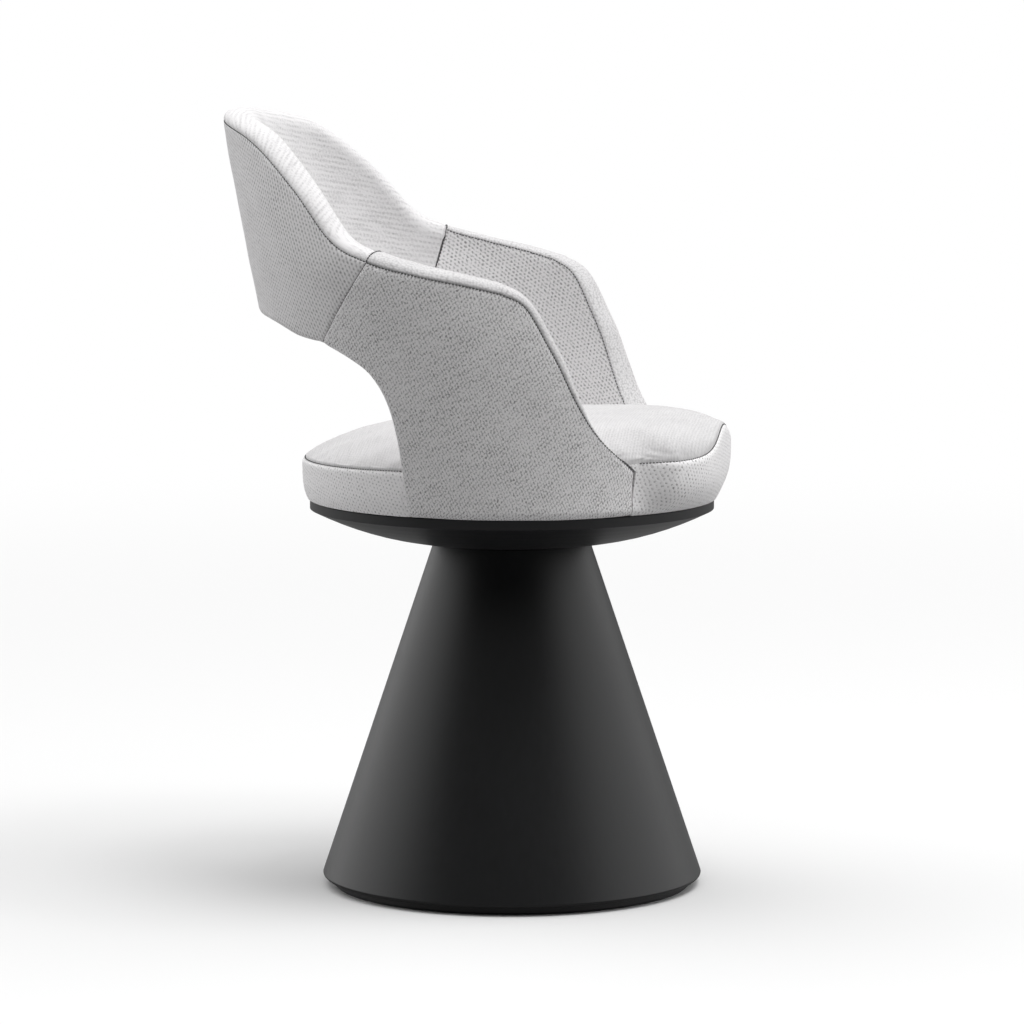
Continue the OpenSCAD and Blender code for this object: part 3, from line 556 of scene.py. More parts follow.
def band_factor(s):
    """Height of the band over an arm: full along the armrest, nearly nothing at the arm's front foot."""
    return 1 - BAND_LOSS * smooth_share((np.abs(s) - LAST_ROW + BAND_LOSS_ROWS) / BAND_LOSS_ROWS)


crest = wall_point(np.array([0.0]), 1.0, BAND_H, WALL / 2)[0]
print("crest of the back at", [round(float(c), 3) for c in crest])

# %% [markdown]
# A panel's section is a closed loop round its padding: up the visible face, then back down against the
# plywood core. The face has extra lines close to each edge, because there the cloth is pulled into the
# seam: over the last few millimetres the surface turns down a quarter circle, and where two panels do
# this side by side, a soft groove appears. Everything else on the face keeps the wall's own curve, with
# a trace of slow unevenness, since foam under cloth is never quite fair.

# %% Sections
EDGE_STEPS = np.array([0, 0.5, 1.2, 2.2, 3.6, 5.5]) * MM
EDGE_WIDTH = EDGE_STEPS[-1]
FACE_LINES = 48
UNDER_SEAM = WALL / 2


def edge_dip(distance, depth):
    """How far the cloth is pulled in at a distance from its edge."""
    near = np.clip(1 - distance / EDGE_WIDTH, 0, 0.999)
    return depth * (1 - np.sqrt(1 - near ** 2))


def curve_through(points, count):
    """A smooth run of (inset, past) places through a few given in millimetres."""
    points = np.array(points, float)
    table = np.vstack([2 * points[0] - points[1], points, 2 * points[-1] - points[-2]])
    at = np.linspace(0, len(points) - 1, count)
    row = np.minimum(at.astype(int), len(points) - 2)
    return curve_between([table[row + k] for k in range(4)], (at - row)[:, None]) * MM


class Section:
    """A closed chain of (inset, share, past) places round a panel's padding, the visible face first."""

    def __init__(self):
        self.places = []
        self.wall_from = self.wall_to = self.face = 0

    def add(self, inset, share, past):
        self.places += [tuple(map(float, place)) for place in np.broadcast(inset, share, past)]
        return self

    def hem(self, flat, side):
        """Flat underside from the middle of the wall, then a quarter circle up to a face at inset flat."""
        middle = UNDER_SEAM + (PAD_GAP if side < 0 else 0)
        turn = np.linspace(0, math.pi / 2, 8)
        self.add(np.linspace(middle, flat + side * HEM, 5)[:-1], 0, 0)
        return self.add(flat + side * HEM * (1 - np.sin(turn)), 0, HEM * (1 - np.cos(turn)))

    def wall(self, inset, top_past):
        """Straight up the wall from the hem to a distance past the end of the ruling."""
        self.wall_from = len(self.places) - 1
        k = np.linspace(0, 1, FACE_LINES)[1:]
        self.add(inset, k, HEM * (1 - k) + top_past * k)
        self.wall_to = len(self.places) - 1
        return self

    def seam_edge(self, inset, top_past):
        return self.add(inset, 1, top_past - EDGE_STEPS[-2::-1])

    def back(self, inset, top_past, lip):
        """The hidden side: down the core, then under it to the middle of the wall."""
        self.face = self.face or len(self.places)
        self.add(inset, np.linspace(1, 0, 9), np.linspace(top_past, HEM, 9))
        return self.add(lip, 0, HEM - PAD_GAP)

    def arrays(self):
        return np.array(self.places).T


def outer_section():
    made = Section().hem(0, 1).wall(0, -EDGE_WIDTH).seam_edge(0, 0)
    return made.back(SKIN, 0, UNDER_SEAM)


def inner_back_section():
    made = Section().hem(WALL, -1).wall(WALL, -8 * MM)
    roll = curve_through([(36, -7), (34.7, 0), (30.6, 5.8), (24.3, 9.6), (16.2, 10.7), (9, 9.6), (4, 7.2),
                          (1.2, 3.8), (0, 0.3)], 32)
    made.add(roll[:, 0], 1, roll[:, 1])
    made.face = len(made.places)
    made.add(np.array([3, 9, 18]) * MM, 1, PAD_GAP)
    return made.back(WALL - SKIN, -PAD_GAP, UNDER_SEAM + PAD_GAP)


def inner_arm_section():
    made = Section().hem(WALL, -1).wall(WALL, 0).seam_edge(WALL, INNER_SEAM_H)
    return made.back(WALL - SKIN, INNER_SEAM_H, UNDER_SEAM + PAD_GAP)


def band_section():
    made = Section()
    over = curve_through([(0, 0.3), (0.8, 3.6), (3.8, 7.4), (9, 9.7), (16.2, 11), (23.4, 11.5), (29.7, 11),
                          (33.8, 9.5), (36, 6.8)], 36)
    made.add(over[:, 0], 1, over[:, 1])
    made.face = len(made.places)
    made.add(np.array([34, 29, 24]) * MM, 1, INNER_SEAM_H + PAD_GAP)
    return made.add(np.array([23, 13, 2]) * MM, 1, PAD_GAP)


print("places round the outer section:", len(outer_section().places))

# %% [markdown]
# One function lays a section along a run of rows. The grid comes from the grid operator, its vertices
# move to their places on the wall, the first and last columns are merged so that the padding closes, and
# the two open ends are filled. The cloth's UV map is in metres, with its rows level round the tub, so
# that the weave has the same size everywhere, whatever the stretch of the grid. Where the cloth turns
# under an edge, the map goes on square to that edge, or else it would shear on the arms' steep ones.

# %% Grids
ROW_LENGTH = 27 * MM
GRID_STEP = 4 * MM
UNEVEN = 0.35 * MM
ARC_TURNS = np.radians(np.linspace(-180, 180, 721))


def stations(first, last):
    """Row numbers along a panel, closer together at its two end seams."""
    edge = EDGE_STEPS / ROW_LENGTH
    count = round((last - first) * ROW_LENGTH / GRID_STEP)
    return np.concatenate([first + edge[:-1], np.linspace(first + edge[-1], last - edge[-1], count),
                           last - edge[-2::-1]])


def from_axis(places):
    """Level vector from the tub's leaning axis to each place."""
    lean = math.tan(TUB_LEAN) * (places[..., 2] - BOARD_TOP)
    return np.stack([places[..., 0], places[..., 1] - lean, 0 * lean], -1)


def grid_normals(places, outward):
    normal = np.cross(np.gradient(places, axis=0), np.gradient(places, axis=1))
    normal /= np.maximum(np.linalg.norm(normal, axis=-1, keepdims=True), 1e-12)
    return normal if (normal * outward).sum() > 0 else -normal


def running_length(places, axis):
    """Distance along the grid's lines from their first point, and to their last."""
    steps = np.linalg.norm(np.diff(places, axis=axis), axis=-1)
    run = np.insert(np.cumsum(steps, axis=axis), 0, 0, axis=axis)
    return run, np.take(run, [-1], axis=axis) - run


def unevenness(places, seed):
    """Slow waves over a panel, the same on every run."""
    x, y, z = np.moveaxis(places, -1, 0)
    waves = (np.sin(41 * x + 23 * y + seed) * np.sin(37 * z - 19 * x + 2.1 * seed)
             + 0.6 * np.sin(71 * y + 64 * z + 1.7 * seed) * np.sin(83 * x - 47 * z + seed))
    return UNEVEN * waves


def level_arc(places, inset):
    """Arc length round the tub from the middle of the back."""
    width = TUB_HALF_WIDTH - inset - 10 * MM
    front, rear = TUB_FRONT_DEPTH - inset - 10 * MM, TUB_CREST_DEPTH - inset
    depth = np.where(np.cos(ARC_TURNS) > 0, rear, front)
    speed = np.hypot(width * np.cos(ARC_TURNS), depth * np.sin(ARC_TURNS))
    arc = np.cumsum(speed) * (ARC_TURNS[1] - ARC_TURNS[0])
    level = from_axis(places)
    turn = np.arctan2(-level[..., 0] / width, level[..., 1] / np.where(level[..., 1] > 0, rear, front))
    return np.interp(turn, ARC_TURNS, arc - arc[len(arc) // 2])


def turn_under(uv, run, edge, beyond):
    """Maps the cloth past an edge of the wall's face at right angles to that edge, however steep it is."""
    along = np.gradient(uv[:, edge], axis=0)
    across = np.stack([-along[:, 1], along[:, 0]], -1) / np.linalg.norm(along, axis=1)[:, None]
    uv[:, beyond] = uv[:, [edge]] + (run[:, beyond] - run[:, [edge]])[..., None] * across[:, None]


def mesh_object(name, bm, finish, sharp=50):
    mesh = bpy.data.meshes.new(name)
    bm.to_mesh(mesh)
    bm.free()
    mesh.shade_smooth()
    mesh.set_sharp_from_angle(angle=math.radians(sharp))
    mesh.materials.append(finish)
    made = bpy.data.objects.new(name, mesh)
    bpy.context.scene.collection.objects.link(made)
    return made


def grid_mesh(places, uvs):
    """A closed bmesh over a grid of points: the last column joins the first, and both ends are filled."""
    places = np.concatenate([places, places[:, :1]], axis=1)
    uvs = np.concatenate([uvs, uvs[:, -1:]], axis=1)
    n, m = places.shape[:2]
    bm = bmesh.new()
    bmesh.ops.create_grid(bm, x_segments=n - 1, y_segments=m - 1, size=0.5)
    layer = bm.loops.layers.uv.new("cloth")
    at = {v: (round((v.co.x + 0.5) * (n - 1)), round((v.co.y + 0.5) * (m - 1))) for v in bm.verts}
    for face in bm.faces:
        for loop in face.loops:
            loop[layer].uv = uvs[at[loop.vert]]
    for v, place in at.items():
        v.co = places[place]
    bmesh.ops.remove_doubles(bm, verts=bm.verts, dist=1e-7)
    rims = [e for e in bm.edges if e.is_boundary]
    ends = bmesh.ops.holes_fill(bm, edges=rims, sides=0)["faces"]
    bmesh.ops.triangulate(bm, faces=ends, ngon_method="EAR_CLIP")
    bmesh.ops.recalc_face_normals(bm, faces=bm.faces)
    return bm


def mirrored(piece, name):
    """The same panel on the chair's other side."""
    bm = bmesh.new()
    bm.from_mesh(piece.data)
    bmesh.ops.scale(bm, vec=(-1, 1, 1), verts=bm.verts)
    bmesh.ops.recalc_face_normals(bm, faces=bm.faces)
    return mesh_object(name, bm, piece.data.materials[0])


print("grid helpers ready")

# %% [markdown]
# A cloth panel is that grid with the face worked on: swollen a little between its seams, pulled in along
# them, and slightly uneven. Its edges along the rows can lean, because the seam between the inner back
# and the inner arm runs upright and not along a ruling.

# %% Cloth panels
SEAM_LEAN_ROWS = 0.7
FOOT_FROM_ROW = 10
PUFF = 0.8 * MM
PUFF_WIDTH = 45 * MM


def foot_share(s):
    """0 where an arm's edge is free, 1 at its foot, where the arm plate needs the middle of the wall."""
    return smooth_share(np.abs(s) - FOOT_FROM_ROW)


def cloth_panel(name, rows, section, finish, dips, facing, lean=None, seed=0.0):
    """A padded panel. dips are the depths of its seams at the first row, the last row, and along the two
    edges of its face. facing is 1 for the outside of the tub, -1 for the inside and 0 for the top."""
    inset, share, past = section.arrays()
    s = rows[:, None] + 0 * inset
    if lean is not None:
        s = s + lean(rows)[:, None] * (1 - share)
    under = share == 0
    if facing > 0:
        most = mix(UNDER_SEAM, SKIN, foot_share(s))
        inset = np.where(under, np.minimum(inset, most), inset)
    elif facing < 0:
        least = mix(UNDER_SEAM + PAD_GAP, WALL - SKIN, foot_share(s))
        inset = np.where(under, np.maximum(inset, least), inset)
    past = np.where((share == 1) & (past > 0), band_factor(s) * past, past)
    places = wall_point(s, share, past, inset)
    shown = places[:, :section.face]
    outward = facing * from_axis(shown) + (0, 0, 0 if facing else 1)
    normal = grid_normals(shown, outward)
    first, last = running_length(shown, 0)
    low, high = running_length(shown, 1)
    pulled = np.maximum.reduce([edge_dip(d, depth) for d, depth in zip((first, last, low, high), dips)])
    reach = np.minimum.reduce([np.where(depth > 0, d, PUFF_WIDTH)
                               for d, depth in zip((first, last, low, high), dips)])
    uneven = unevenness(shown, seed) * smooth_share(reach / EDGE_WIDTH)
    swell = PUFF * smooth_share(reach / PUFF_WIDTH) + uneven
    shown += normal * (swell - pulled)[..., None]
    if facing:
        uv = np.stack([level_arc(shown, WALL if facing < 0 else 0), shown[..., 2]], -1)
        a, b = section.wall_from, section.wall_to
        turn_under(uv, low, a, slice(0, a))
        turn_under(uv, low, b, slice(b + 1, None))
    else:
        middle = first[:, [first.shape[1] // 2]]
        uv = np.stack([middle + 0 * first, low], -1)
    hidden = np.repeat(uv[:, -1:], places.shape[1] - section.face, axis=1)
    bm = grid_mesh(places, np.concatenate([uv, hidden], axis=1))
    return mesh_object(name, bm, finish)


def wear_cloth(piece, node):
    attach(piece, "seat")
    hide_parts(node)
    return piece


SEAM_DIP = 1.2 * MM
TOP_DIP = 1.5 * MM
FOOT_DIP = 0.6 * MM
SEAM_GAP_ROWS = 0.02

outer_back = cloth_panel("outer_back", stations(-SEAM_ROW, SEAM_ROW), outer_section(), CLOTH_OUTER_BACK,
                         (SEAM_DIP, SEAM_DIP, 0, TOP_DIP), 1)
inner_back = cloth_panel("inner_back", stations(-SEAM_ROW, SEAM_ROW), inner_back_section(), CLOTH_INNER_BACK,
                         (SEAM_DIP, SEAM_DIP, 0, TOP_DIP), -1,
                         lean=lambda s: SEAM_LEAN_ROWS * (s / SEAM_ROW) ** 3, seed=1.0)
arm_rows = stations(SEAM_ROW + SEAM_GAP_ROWS, LAST_ROW)
outer_arm = cloth_panel("outer_arm_right", arm_rows, outer_section(), CLOTH_OUTER_ARM,
                        (SEAM_DIP, FOOT_DIP, 0, TOP_DIP), 1, seed=2.0)
inner_arm = cloth_panel("inner_arm_right", arm_rows, inner_arm_section(), CLOTH_INNER_ARM,
                        (SEAM_DIP, FOOT_DIP, 0, SEAM_DIP), -1, seed=3.0,
                        lean=lambda s: SEAM_LEAN_ROWS * ((LAST_ROW - s) / (LAST_ROW - SEAM_ROW)) ** 3)
arm_band = cloth_panel("arm_band_right_cloth", arm_rows, band_section(), CLOTH_BAND,
                       (SEAM_DIP, 0, TOP_DIP, SEAM_DIP), 0, seed=4.0)
wear_cloth(outer_back, "outer_back_pad")
wear_cloth(inner_back, "inner_back_pad")
for panel, pad in ((outer_arm, "outer_arm_pad"), (inner_arm, "inner_arm_pad"), (arm_band, "arm_band")):
    wear_cloth(panel, pad + "_right")
    wear_cloth(mirrored(panel, panel.name.replace("right", "left")), pad + "_left")
for panel in (outer_back, inner_back, outer_arm, inner_arm, arm_band):
    print(panel.name, len(panel.data.polygons), "faces")

# %% [markdown]
# The seat is a round cushion, squared off a little at the front: a band of boxing, a seam, and a crowned
# top panel that is steep beside the seam and nearly flat in the middle. The top starts as a square grid
# that is squeezed into a disc, because such a grid has no pole in the middle to pinch the simulation.
# The boxing is extruded down from its rim, ring by ring. Towards the very front the seam climbs, and
# beside the arms' front feet the rim is drawn in, so that boxing and arm meet flush.

# %% Cushion shape
DISH_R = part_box("dish")[1].x
SEAT_FRONT = DISH_R + 13 * MM
SEAT_REAR = DISH_R + 7.5 * MM
SEAT_FOOT = DISH_R + 2 * MM
SEAT_SIDE = 176.5 * MM
SEAT_SQUARE = 3.6
SEAT_TILT = math.tan(math.radians(1.7))
BOXING_H = 48 * MM
SEAM_RISE = 23 * MM
SEAM_RISE_POWER = 24
CROWN_H = 34 * MM
SEAM_DRAW = 3.5 * MM
SEAT_LIFT = 0.4 * MM
LEVEL_REACH = 45 * MM
LEVEL_TOP_FROM = 0.3
CROWN_POWERS = (9, 2.2)
BOXING_POWER = 4.2
BOXING_TURN_FROM = 0.88
BOXING_TURN_SPAN = 0.12

# Lines of the grid from the middle to the rim, and heights of the rings of the boxing, as shares
RIM_SHARES = (0.915, 0.93, 0.945, 0.958, 0.968, 0.977, 0.985, 0.991, 0.9955, 0.9985, 1)
BOXING_SHARES = (0.99, 0.975, 0.955, 0.93, 0.9, 0.86, 0.8, 0.72, 0.64, 0.56, 0.48, 0.4, 0.32, 0.25, 0.18,
                 0.12, 0.07, 0.03, 0)


def cushion_radius(angle):
    """Radius of the cushion at degrees from the front: a squared ellipse that turns into a circle."""
    angle = np.abs(angle)
    turn = np.radians(np.minimum(angle, 90))
    squared = ((np.cos(turn) / SEAT_FRONT) ** SEAT_SQUARE + (np.sin(turn) / SEAT_SIDE) ** SEAT_SQUARE)
    return mix(squared ** (-1 / SEAT_SQUARE), SEAT_REAR, smooth_share((angle - 60) / 40))


def seam_height(radius, angle):
    ahead = np.cos(np.radians(angle))
    rise = SEAM_RISE * np.maximum(ahead, 0) ** SEAM_RISE_POWER
    return BOARD_TOP + BOXING_H + SEAT_TILT * radius * ahead + rise


def crown_place(share, angle):
    """Place on the top panel, at a share of the way from the middle to the seam."""
    edge = cushion_radius(angle) - SEAM_DRAW
    power = mix(CROWN_POWERS[1], CROWN_POWERS[0], ((1 + np.cos(np.radians(angle))) / 2) ** 3)
    lift = np.sqrt(np.clip(1 - share ** power, 0, 1))
    top = BOARD_TOP + BOXING_H + CROWN_H + SEAT_TILT * edge * share * np.cos(np.radians(angle))
    return polar_place(edge * share, angle, mix(seam_height(edge, angle), top, lift))


def boxing_place(share, angle):
    """Place on the boxing, at a share of its height: it swells from the foot and turns in at the seam."""
    bulge = mix(SEAT_FOOT, cushion_radius(angle), 1 - (1 - share) ** BOXING_POWER)
    turned = np.clip((share - BOXING_TURN_FROM) / BOXING_TURN_SPAN, 0, 0.999)
    radius = bulge - SEAM_DRAW * (1 - np.sqrt(1 - turned ** 2))
    return polar_place(radius, angle, mix(BOARD_TOP + SEAT_LIFT, seam_height(bulge, angle), share))


def polar_place(radius, angle, height):
    turn = np.radians(angle)
    return np.stack([radius * np.sin(turn), -radius * np.cos(turn), height + 0 * turn], -1)


def angle_of(place):
    """Degrees from the front."""
    return math.degrees(math.atan2(place[0], -place[1]))


def level_with_arms(places):
    """Draws the rim in beside the front foot of each arm, until it is level with the arm's outside."""
    radius = np.hypot(places[:, 0], places[:, 1])
    turn = np.abs(np.degrees(np.arctan2(places[:, 0], -places[:, 1])))
    up = np.linspace(0, 1, 40)
    foot = wall_point(LAST_ROW + 0 * up, up, 0 * up, 0 * up)
    foot_radius = np.interp(places[:, 2], foot[:, 2], np.hypot(foot[:, 0], foot[:, 1]))
    foot_turn = np.interp(places[:, 2], foot[:, 2], np.degrees(np.arctan2(-foot[:, 0], -foot[:, 1])))
    near = smooth_share(1 - np.radians(foot_turn - turn) * radius / LEVEL_REACH) * (turn < 90)
    rim = cushion_radius(turn) - SEAM_DRAW
    on_top = places[:, 2] > seam_height(rim, turn)
    proud = np.maximum(np.where(on_top, rim, radius) - foot_radius, 0)
    top_share = smooth_share((radius / rim - LEVEL_TOP_FROM) / 0.7)
    drawn = proud * near * np.where(on_top, top_share, 1)
    factor = 1 - drawn / np.maximum(radius, 1e-6)
    return places * np.stack([factor, factor, 1 + 0 * factor], -1)


def in_order(bm):
    """Puts edges and faces in the order of their vertices. Extruding leaves them in a chance order, and
    the simulation, which adds up its springs in that order, would differ a little from run to run."""
    bm.verts.index_update()
    for parts in (bm.edges, bm.faces):
        for k, part in enumerate(sorted(parts, key=lambda p: sorted(v.index for v in p.verts))):
            part.index = k
        parts.sort()


def make_cushion():
    inner = np.linspace(0, 0.9, 37)
    lines = np.concatenate([inner, RIM_SHARES])
    lines = np.concatenate([-lines[:0:-1], lines])
    bm = bmesh.new()
    n = len(lines) - 1
    bmesh.ops.create_grid(bm, x_segments=n, y_segments=n, size=0.5)
    for v in bm.verts:
        a, b = (lines[round((c + 0.5) * n)] for c in v.co.xy)
        x, y = a * math.sqrt(1 - b * b / 2), b * math.sqrt(1 - a * a / 2)
        v.co = crown_place(np.float64(min(1, math.hypot(x, y))), math.degrees(math.atan2(x, -y)))
    ring = [e for e in bm.edges if e.is_boundary]
    for share in BOXING_SHARES:
        made = bmesh.ops.extrude_edge_only(bm, edges=ring)["geom"]
        ring = [g for g in made if isinstance(g, bmesh.types.BMEdge)]
        for v in (g for g in made if isinstance(g, bmesh.types.BMVert)):
            v.co = boxing_place(np.float64(share), angle_of(v.co))
    bmesh.ops.holes_fill(bm, edges=ring, sides=0)
    for v, place in zip(bm.verts, level_with_arms(np.array([v.co for v in bm.verts], float))):
        v.co = place
    in_order(bm)
    bmesh.ops.recalc_face_normals(bm, faces=bm.faces)
    return mesh_object("seat_cushion_cloth", bm, CLOTH_SEAT, sharp=60)


cushion = make_cushion()
print("cushion faces:", len(cushion.data.polygons))

# %% [markdown]
# Foam under cloth is never a drawn curve, so the top is inflated by the cloth simulation: a little
# pressure inside, no gravity, the boxing held still. Each point may move a few millimetres at most. The
# result is taken over and the simulation removed, so that the piece is a plain mesh again.

# %% Cushion simulation
SWELL_FRAMES = 20
SWELL_PRESSURE = 4.0
SWELL_CAP = 4 * MM
HELD_HEIGHT = 3 * MM


def points_of(mesh):
    co = np.empty(len(mesh.vertices) * 3, np.float32)
    mesh.vertices.foreach_get("co", co)
    return co.reshape(-1, 3).astype(float)


def move_points(mesh, places):
    mesh.vertices.foreach_set("co", places.astype(np.float32).ravel())
    mesh.update()


def held_points(places):
    """The boxing, the seam and the underside stay where they are."""
    radius = np.hypot(places[:, 0], places[:, 1])
    angle = np.degrees(np.arctan2(places[:, 0], -places[:, 1]))
    on_top = places[:, 2] > seam_height(cushion_radius(angle), angle) + HELD_HEIGHT
    return np.flatnonzero(~(on_top & (radius < cushion_radius(angle) - SEAM_DRAW * 0.9)))


def swell(piece):
    """Inflates the top under pressure and keeps each point within the cap."""
    rest = points_of(piece.data)
    group = piece.vertex_groups.new(name="held")
    group.add([int(i) for i in held_points(rest)], 1.0, "REPLACE")
    cloth = piece.modifiers.new("swell", "CLOTH")
    cloth.settings.vertex_group_mass = "held"
    cloth.settings.use_pressure = True
    cloth.settings.uniform_pressure_force = SWELL_PRESSURE
    cloth.settings.effector_weights.gravity = 0
    cloth.settings.quality = 6
    cloth.settings.bending_stiffness = 3
    cloth.point_cache.frame_start = 1
    cloth.point_cache.frame_end = SWELL_FRAMES
    for moment in range(1, SWELL_FRAMES + 1):
        bpy.context.scene.frame_set(moment)
    shown = piece.evaluated_get(bpy.context.evaluated_depsgraph_get())
    move = points_of(shown.data) - rest
    piece.modifiers.remove(cloth)
    piece.vertex_groups.remove(group)
    bpy.context.scene.frame_set(1)
    length = np.maximum(np.linalg.norm(move, axis=1, keepdims=True), 1e-9)
    move *= SWELL_CAP * np.tanh(length / SWELL_CAP) / length
    move_points(piece.data, rest + move)
    return float(np.linalg.norm(move, axis=1).max())


print("cushion swelled by at most", round(swell(cushion) / MM, 2), "mm")

# %% [markdown]
# The arms stand in notches in the cushion. Their space is a closed panel of the wall's own rows, a little
# larger than the arm. Near it the cushion is drawn in, as foam is where cloth presses against cloth, and
# then a Boolean takes the space away. The weave of the top runs straight across it and that of the
# boxing runs round it, so each gets its own coordinates.

# %% Cushion beside the arms
ARM_SPACE_ROW = 8
ARM_CLEAR = 0.45 * MM
ARM_REACH = 40 * MM
NOTCH_WIDTH = 11 * MM
NOTCH_DIP = 2.0 * MM
SIDE_WIDTH = 4 * MM
SIDE_DIP_REAR = 2.0 * MM
SIDE_DIP_FRONT = 0.2 * MM
OVER_ARM = ((37, 0), (37, 6.8), (35, 10.6), (31, 12.4), (24, 12.9), (13, 12), (0, 11.5), (-40, 11.5))


def arm_space():
    """The arm's foot with its clearance, as a closed mesh."""
    rows = np.linspace(ARM_SPACE_ROW, LAST_ROW + 0.03, 70)
    over = np.array(OVER_ARM) * MM
    up = np.linspace(0, 1, 12)[:-1]
    inset = np.concatenate([0 * up + WALL + ARM_CLEAR, over[:, 0], 0 * up - ARM_REACH])
    share = np.concatenate([up, 1 + 0 * over[:, 0], up[::-1]])
    past = np.concatenate([-MM + 0 * up, over[:, 1], -MM + 0 * up])
    s = rows[:, None] + 0 * inset
    factor = np.where((share == 1) & (past > 0), band_factor(s), 1)
    places = wall_point(s, share, past * factor + np.where(past > 0, ARM_CLEAR, 0), inset)
    return grid_mesh(places, np.zeros(places.shape[:2] + (2,)))


def draw_in(piece, tree):
    """Pulls the cushion's surface in where it comes near the arm."""
    for v in piece.data.vertices:
        place, normal, _, distance = tree.find_nearest(v.co, NOTCH_WIDTH)
        if place is None:
            continue
        top = v.normal.z > 0.5
        beside = SIDE_DIP_FRONT if v.co.y < 0 else SIDE_DIP_REAR
        width, depth = (NOTCH_WIDTH, NOTCH_DIP) if top else (SIDE_WIDTH, beside)
        outside = distance if (v.co - place).dot(normal) > 0 else 0
        near = max(0, 1 - outside / width)
        v.co = v.co - v.normal * depth * (1 - math.sqrt(1 - 0.999 * near ** 2))


def take_away(piece, tool):
    cut = piece.modifiers.new("notch", "BOOLEAN")
    cut.operation = "DIFFERENCE"
    cut.object = tool
    cut.solver = "MANIFOLD"
    shown = piece.evaluated_get(bpy.context.evaluated_depsgraph_get())
    mesh = bpy.data.meshes.new_from_object(shown)
    piece.modifiers.remove(cut)
    piece.data = mesh
    bpy.data.objects.remove(tool)


def weave_cushion(piece):
    """UV map in metres: straight across on the top, round and up on the boxing."""
    bm = bmesh.new()
    bm.from_mesh(piece.data)
    layer = bm.loops.layers.uv.get("cloth") or bm.loops.layers.uv.new("cloth")
    for face in bm.faces:
        middle = face.calc_center_median()
        angle = angle_of(middle)
        on_top = middle.z > float(seam_height(cushion_radius(angle), angle)) or face.normal.z > 0.7
        face.material_index = 0 if on_top else 1
        for loop in face.loops:
            x, y, z = loop.vert.co
            turn = angle_of(loop.vert.co)
            if abs(turn - angle) > 180:
                turn += math.copysign(360, angle - turn)
            loop[layer].uv = (x, y) if on_top else (math.radians(turn) * SEAT_REAR, z)
    bm.to_mesh(piece.data)
    bm.free()


def notch(piece):
    right = mesh_object("arm_space_right", arm_space(), CLOTH_SEAT)
    for tool in (right, mirrored(right, "arm_space_left")):
        draw_in(piece, BVHTree.FromObject(tool, bpy.context.evaluated_depsgraph_get()))
        take_away(piece, tool)


notch(cushion)
cushion.data.materials.clear()
for finish in (CLOTH_SEAT, CLOTH_BOXING):
    cushion.data.materials.append(finish)
weave_cushion(cushion)
cushion.data.set_sharp_from_angle(angle=math.radians(60))
wear_cloth(cushion, "seat_cushion")
print("cushion notched:", len(cushion.data.polygons), "faces")

# %% [markdown]
# Every seam shows a line of dark thread in its groove. A row of short stitches is laid along the seam's
# own line, which is worked out with the same functions as the panels. Each stitch is a small stretched
# icosphere of twenty faces, because there are hundreds of them.

# %% Stitches
STITCH_PITCH = 3.4 * MM
STITCH_LENGTH = 2.9 * MM
STITCH_WIDTH = 1.25 * MM


def thread_finish():
    finish = Finish("seam_thread", roughness=0.8)
    place = finish.node("ShaderNodeTexCoord", output=3)
    twist = finish.noise(place, 2600, 2)
    finish.feed("Base Color", finish.node("ShaderNodeValToRGB", {"stops": [
        (0.3, (0.035, 0.035, 0.037)), (0.75, (0.09, 0.09, 0.092))]}, [twist]))
    finish.bump(twist, 0.3, 0.1 * MM)
    return finish.material


def even_places(line):
    """Places at even distances along a line of points, with the line's direction at each."""
    steps = np.linalg.norm(np.diff(line, axis=0), axis=1)
    run = np.insert(np.cumsum(steps), 0, 0)
    at = np.arange(STITCH_PITCH / 2, run[-1], STITCH_PITCH)
    places = np.stack([np.interp(at, run, line[:, k]) for k in range(3)], -1)
    ahead = np.stack([np.interp(at + STITCH_PITCH / 3, run, line[:, k]) for k in range(3)], -1)
    return places, ahead - places


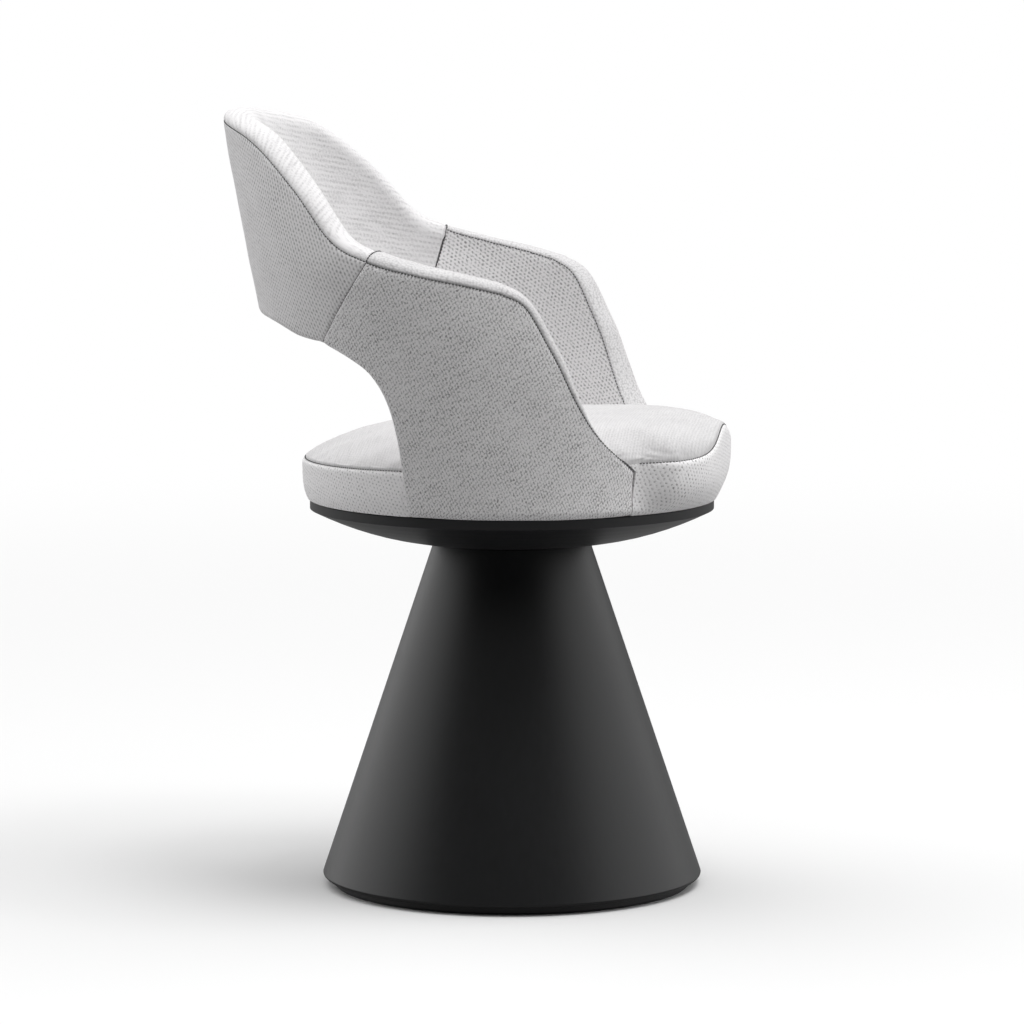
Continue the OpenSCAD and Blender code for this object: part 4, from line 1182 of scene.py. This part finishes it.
def stitches(name, lines):
    bm = bmesh.new()
    for line in lines:
        for place, ahead in zip(*even_places(line)):
            turn = Vector(ahead).to_track_quat("X", "Z").to_matrix().to_4x4()
            size = Matrix.Diagonal((STITCH_LENGTH / 2, STITCH_WIDTH / 2, STITCH_WIDTH / 2, 1))
            bmesh.ops.create_icosphere(bm, subdivisions=1, radius=1,
                                       matrix=Matrix.Translation(place) @ turn @ size)
    made = mesh_object(name, bm, THREAD, sharp=180)
    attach(made, "seat")
    return made


def wall_line(first, last, share=1.0, past=0.0, inset=0.0, side=1):
    """A line along the rows, or up one ruling when share is a pair."""
    count = 160
    rows = np.linspace(first, last, count)
    shares = np.linspace(*share, count) if isinstance(share, tuple) else share + 0 * rows
    leaning = SEAM_LEAN_ROWS * (1 - shares) if first == last and inset > WALL / 2 else 0
    line = wall_point(rows + leaning, shares, past * band_factor(rows), inset + 0 * rows)
    return line * (side, 1, 1)


def both_sides(**line):
    return [wall_line(side=side, **line) for side in (1, -1)]


def seat_line(first, last):
    """Along the seat's seam, between two angles from the front."""
    line = level_with_arms(crown_place(np.ones(400), np.linspace(first, last, 400)))
    return line + THREAD_OUT * line * (1, 1, 0) / np.linalg.norm(line[:, :2], axis=1)[:, None]


def crossing_line(side):
    """Over the top of the wall, where the crest of the back meets the band of an arm."""
    inset, share, past = (row[:band_section().face] for row in band_section().arrays())
    return wall_point(SEAM_AT + 0 * inset, share, np.maximum(past - GROOVE, 0), inset) * (side, 1, 1)


THREAD = thread_finish()
GROOVE = 0.4 * MM
THREAD_OUT = 0.6 * MM
SEAM_AT = SEAM_ROW + SEAM_GAP_ROWS / 2
ARM_FRONT = 180 - RULING_SHARES[-1, 0]
ARM_REAR = 180 - RULING_SHARES[9, 2]
stitches("thread_crest", [wall_line(-SEAM_ROW, SEAM_ROW, inset=2.6 * GROOVE)]
         + both_sides(first=SEAM_ROW, last=LAST_ROW, inset=GROOVE))
stitches("thread_outer_arms", both_sides(first=SEAM_AT, last=SEAM_AT, share=(0.03, 1), inset=1.7 * MM))
stitches("thread_inner_arms", both_sides(first=SEAM_AT, last=SEAM_AT, share=(0.03, 1), inset=WALL - 1.3 * MM)
         + both_sides(first=SEAM_ROW, last=LAST_ROW, past=INNER_SEAM_H, inset=WALL - GROOVE))
stitches("thread_crossings", [crossing_line(side) for side in (1, -1)])
stitches("thread_seat", [seat_line(-ARM_FRONT, ARM_FRONT), seat_line(ARM_REAR, 360 - ARM_REAR)])
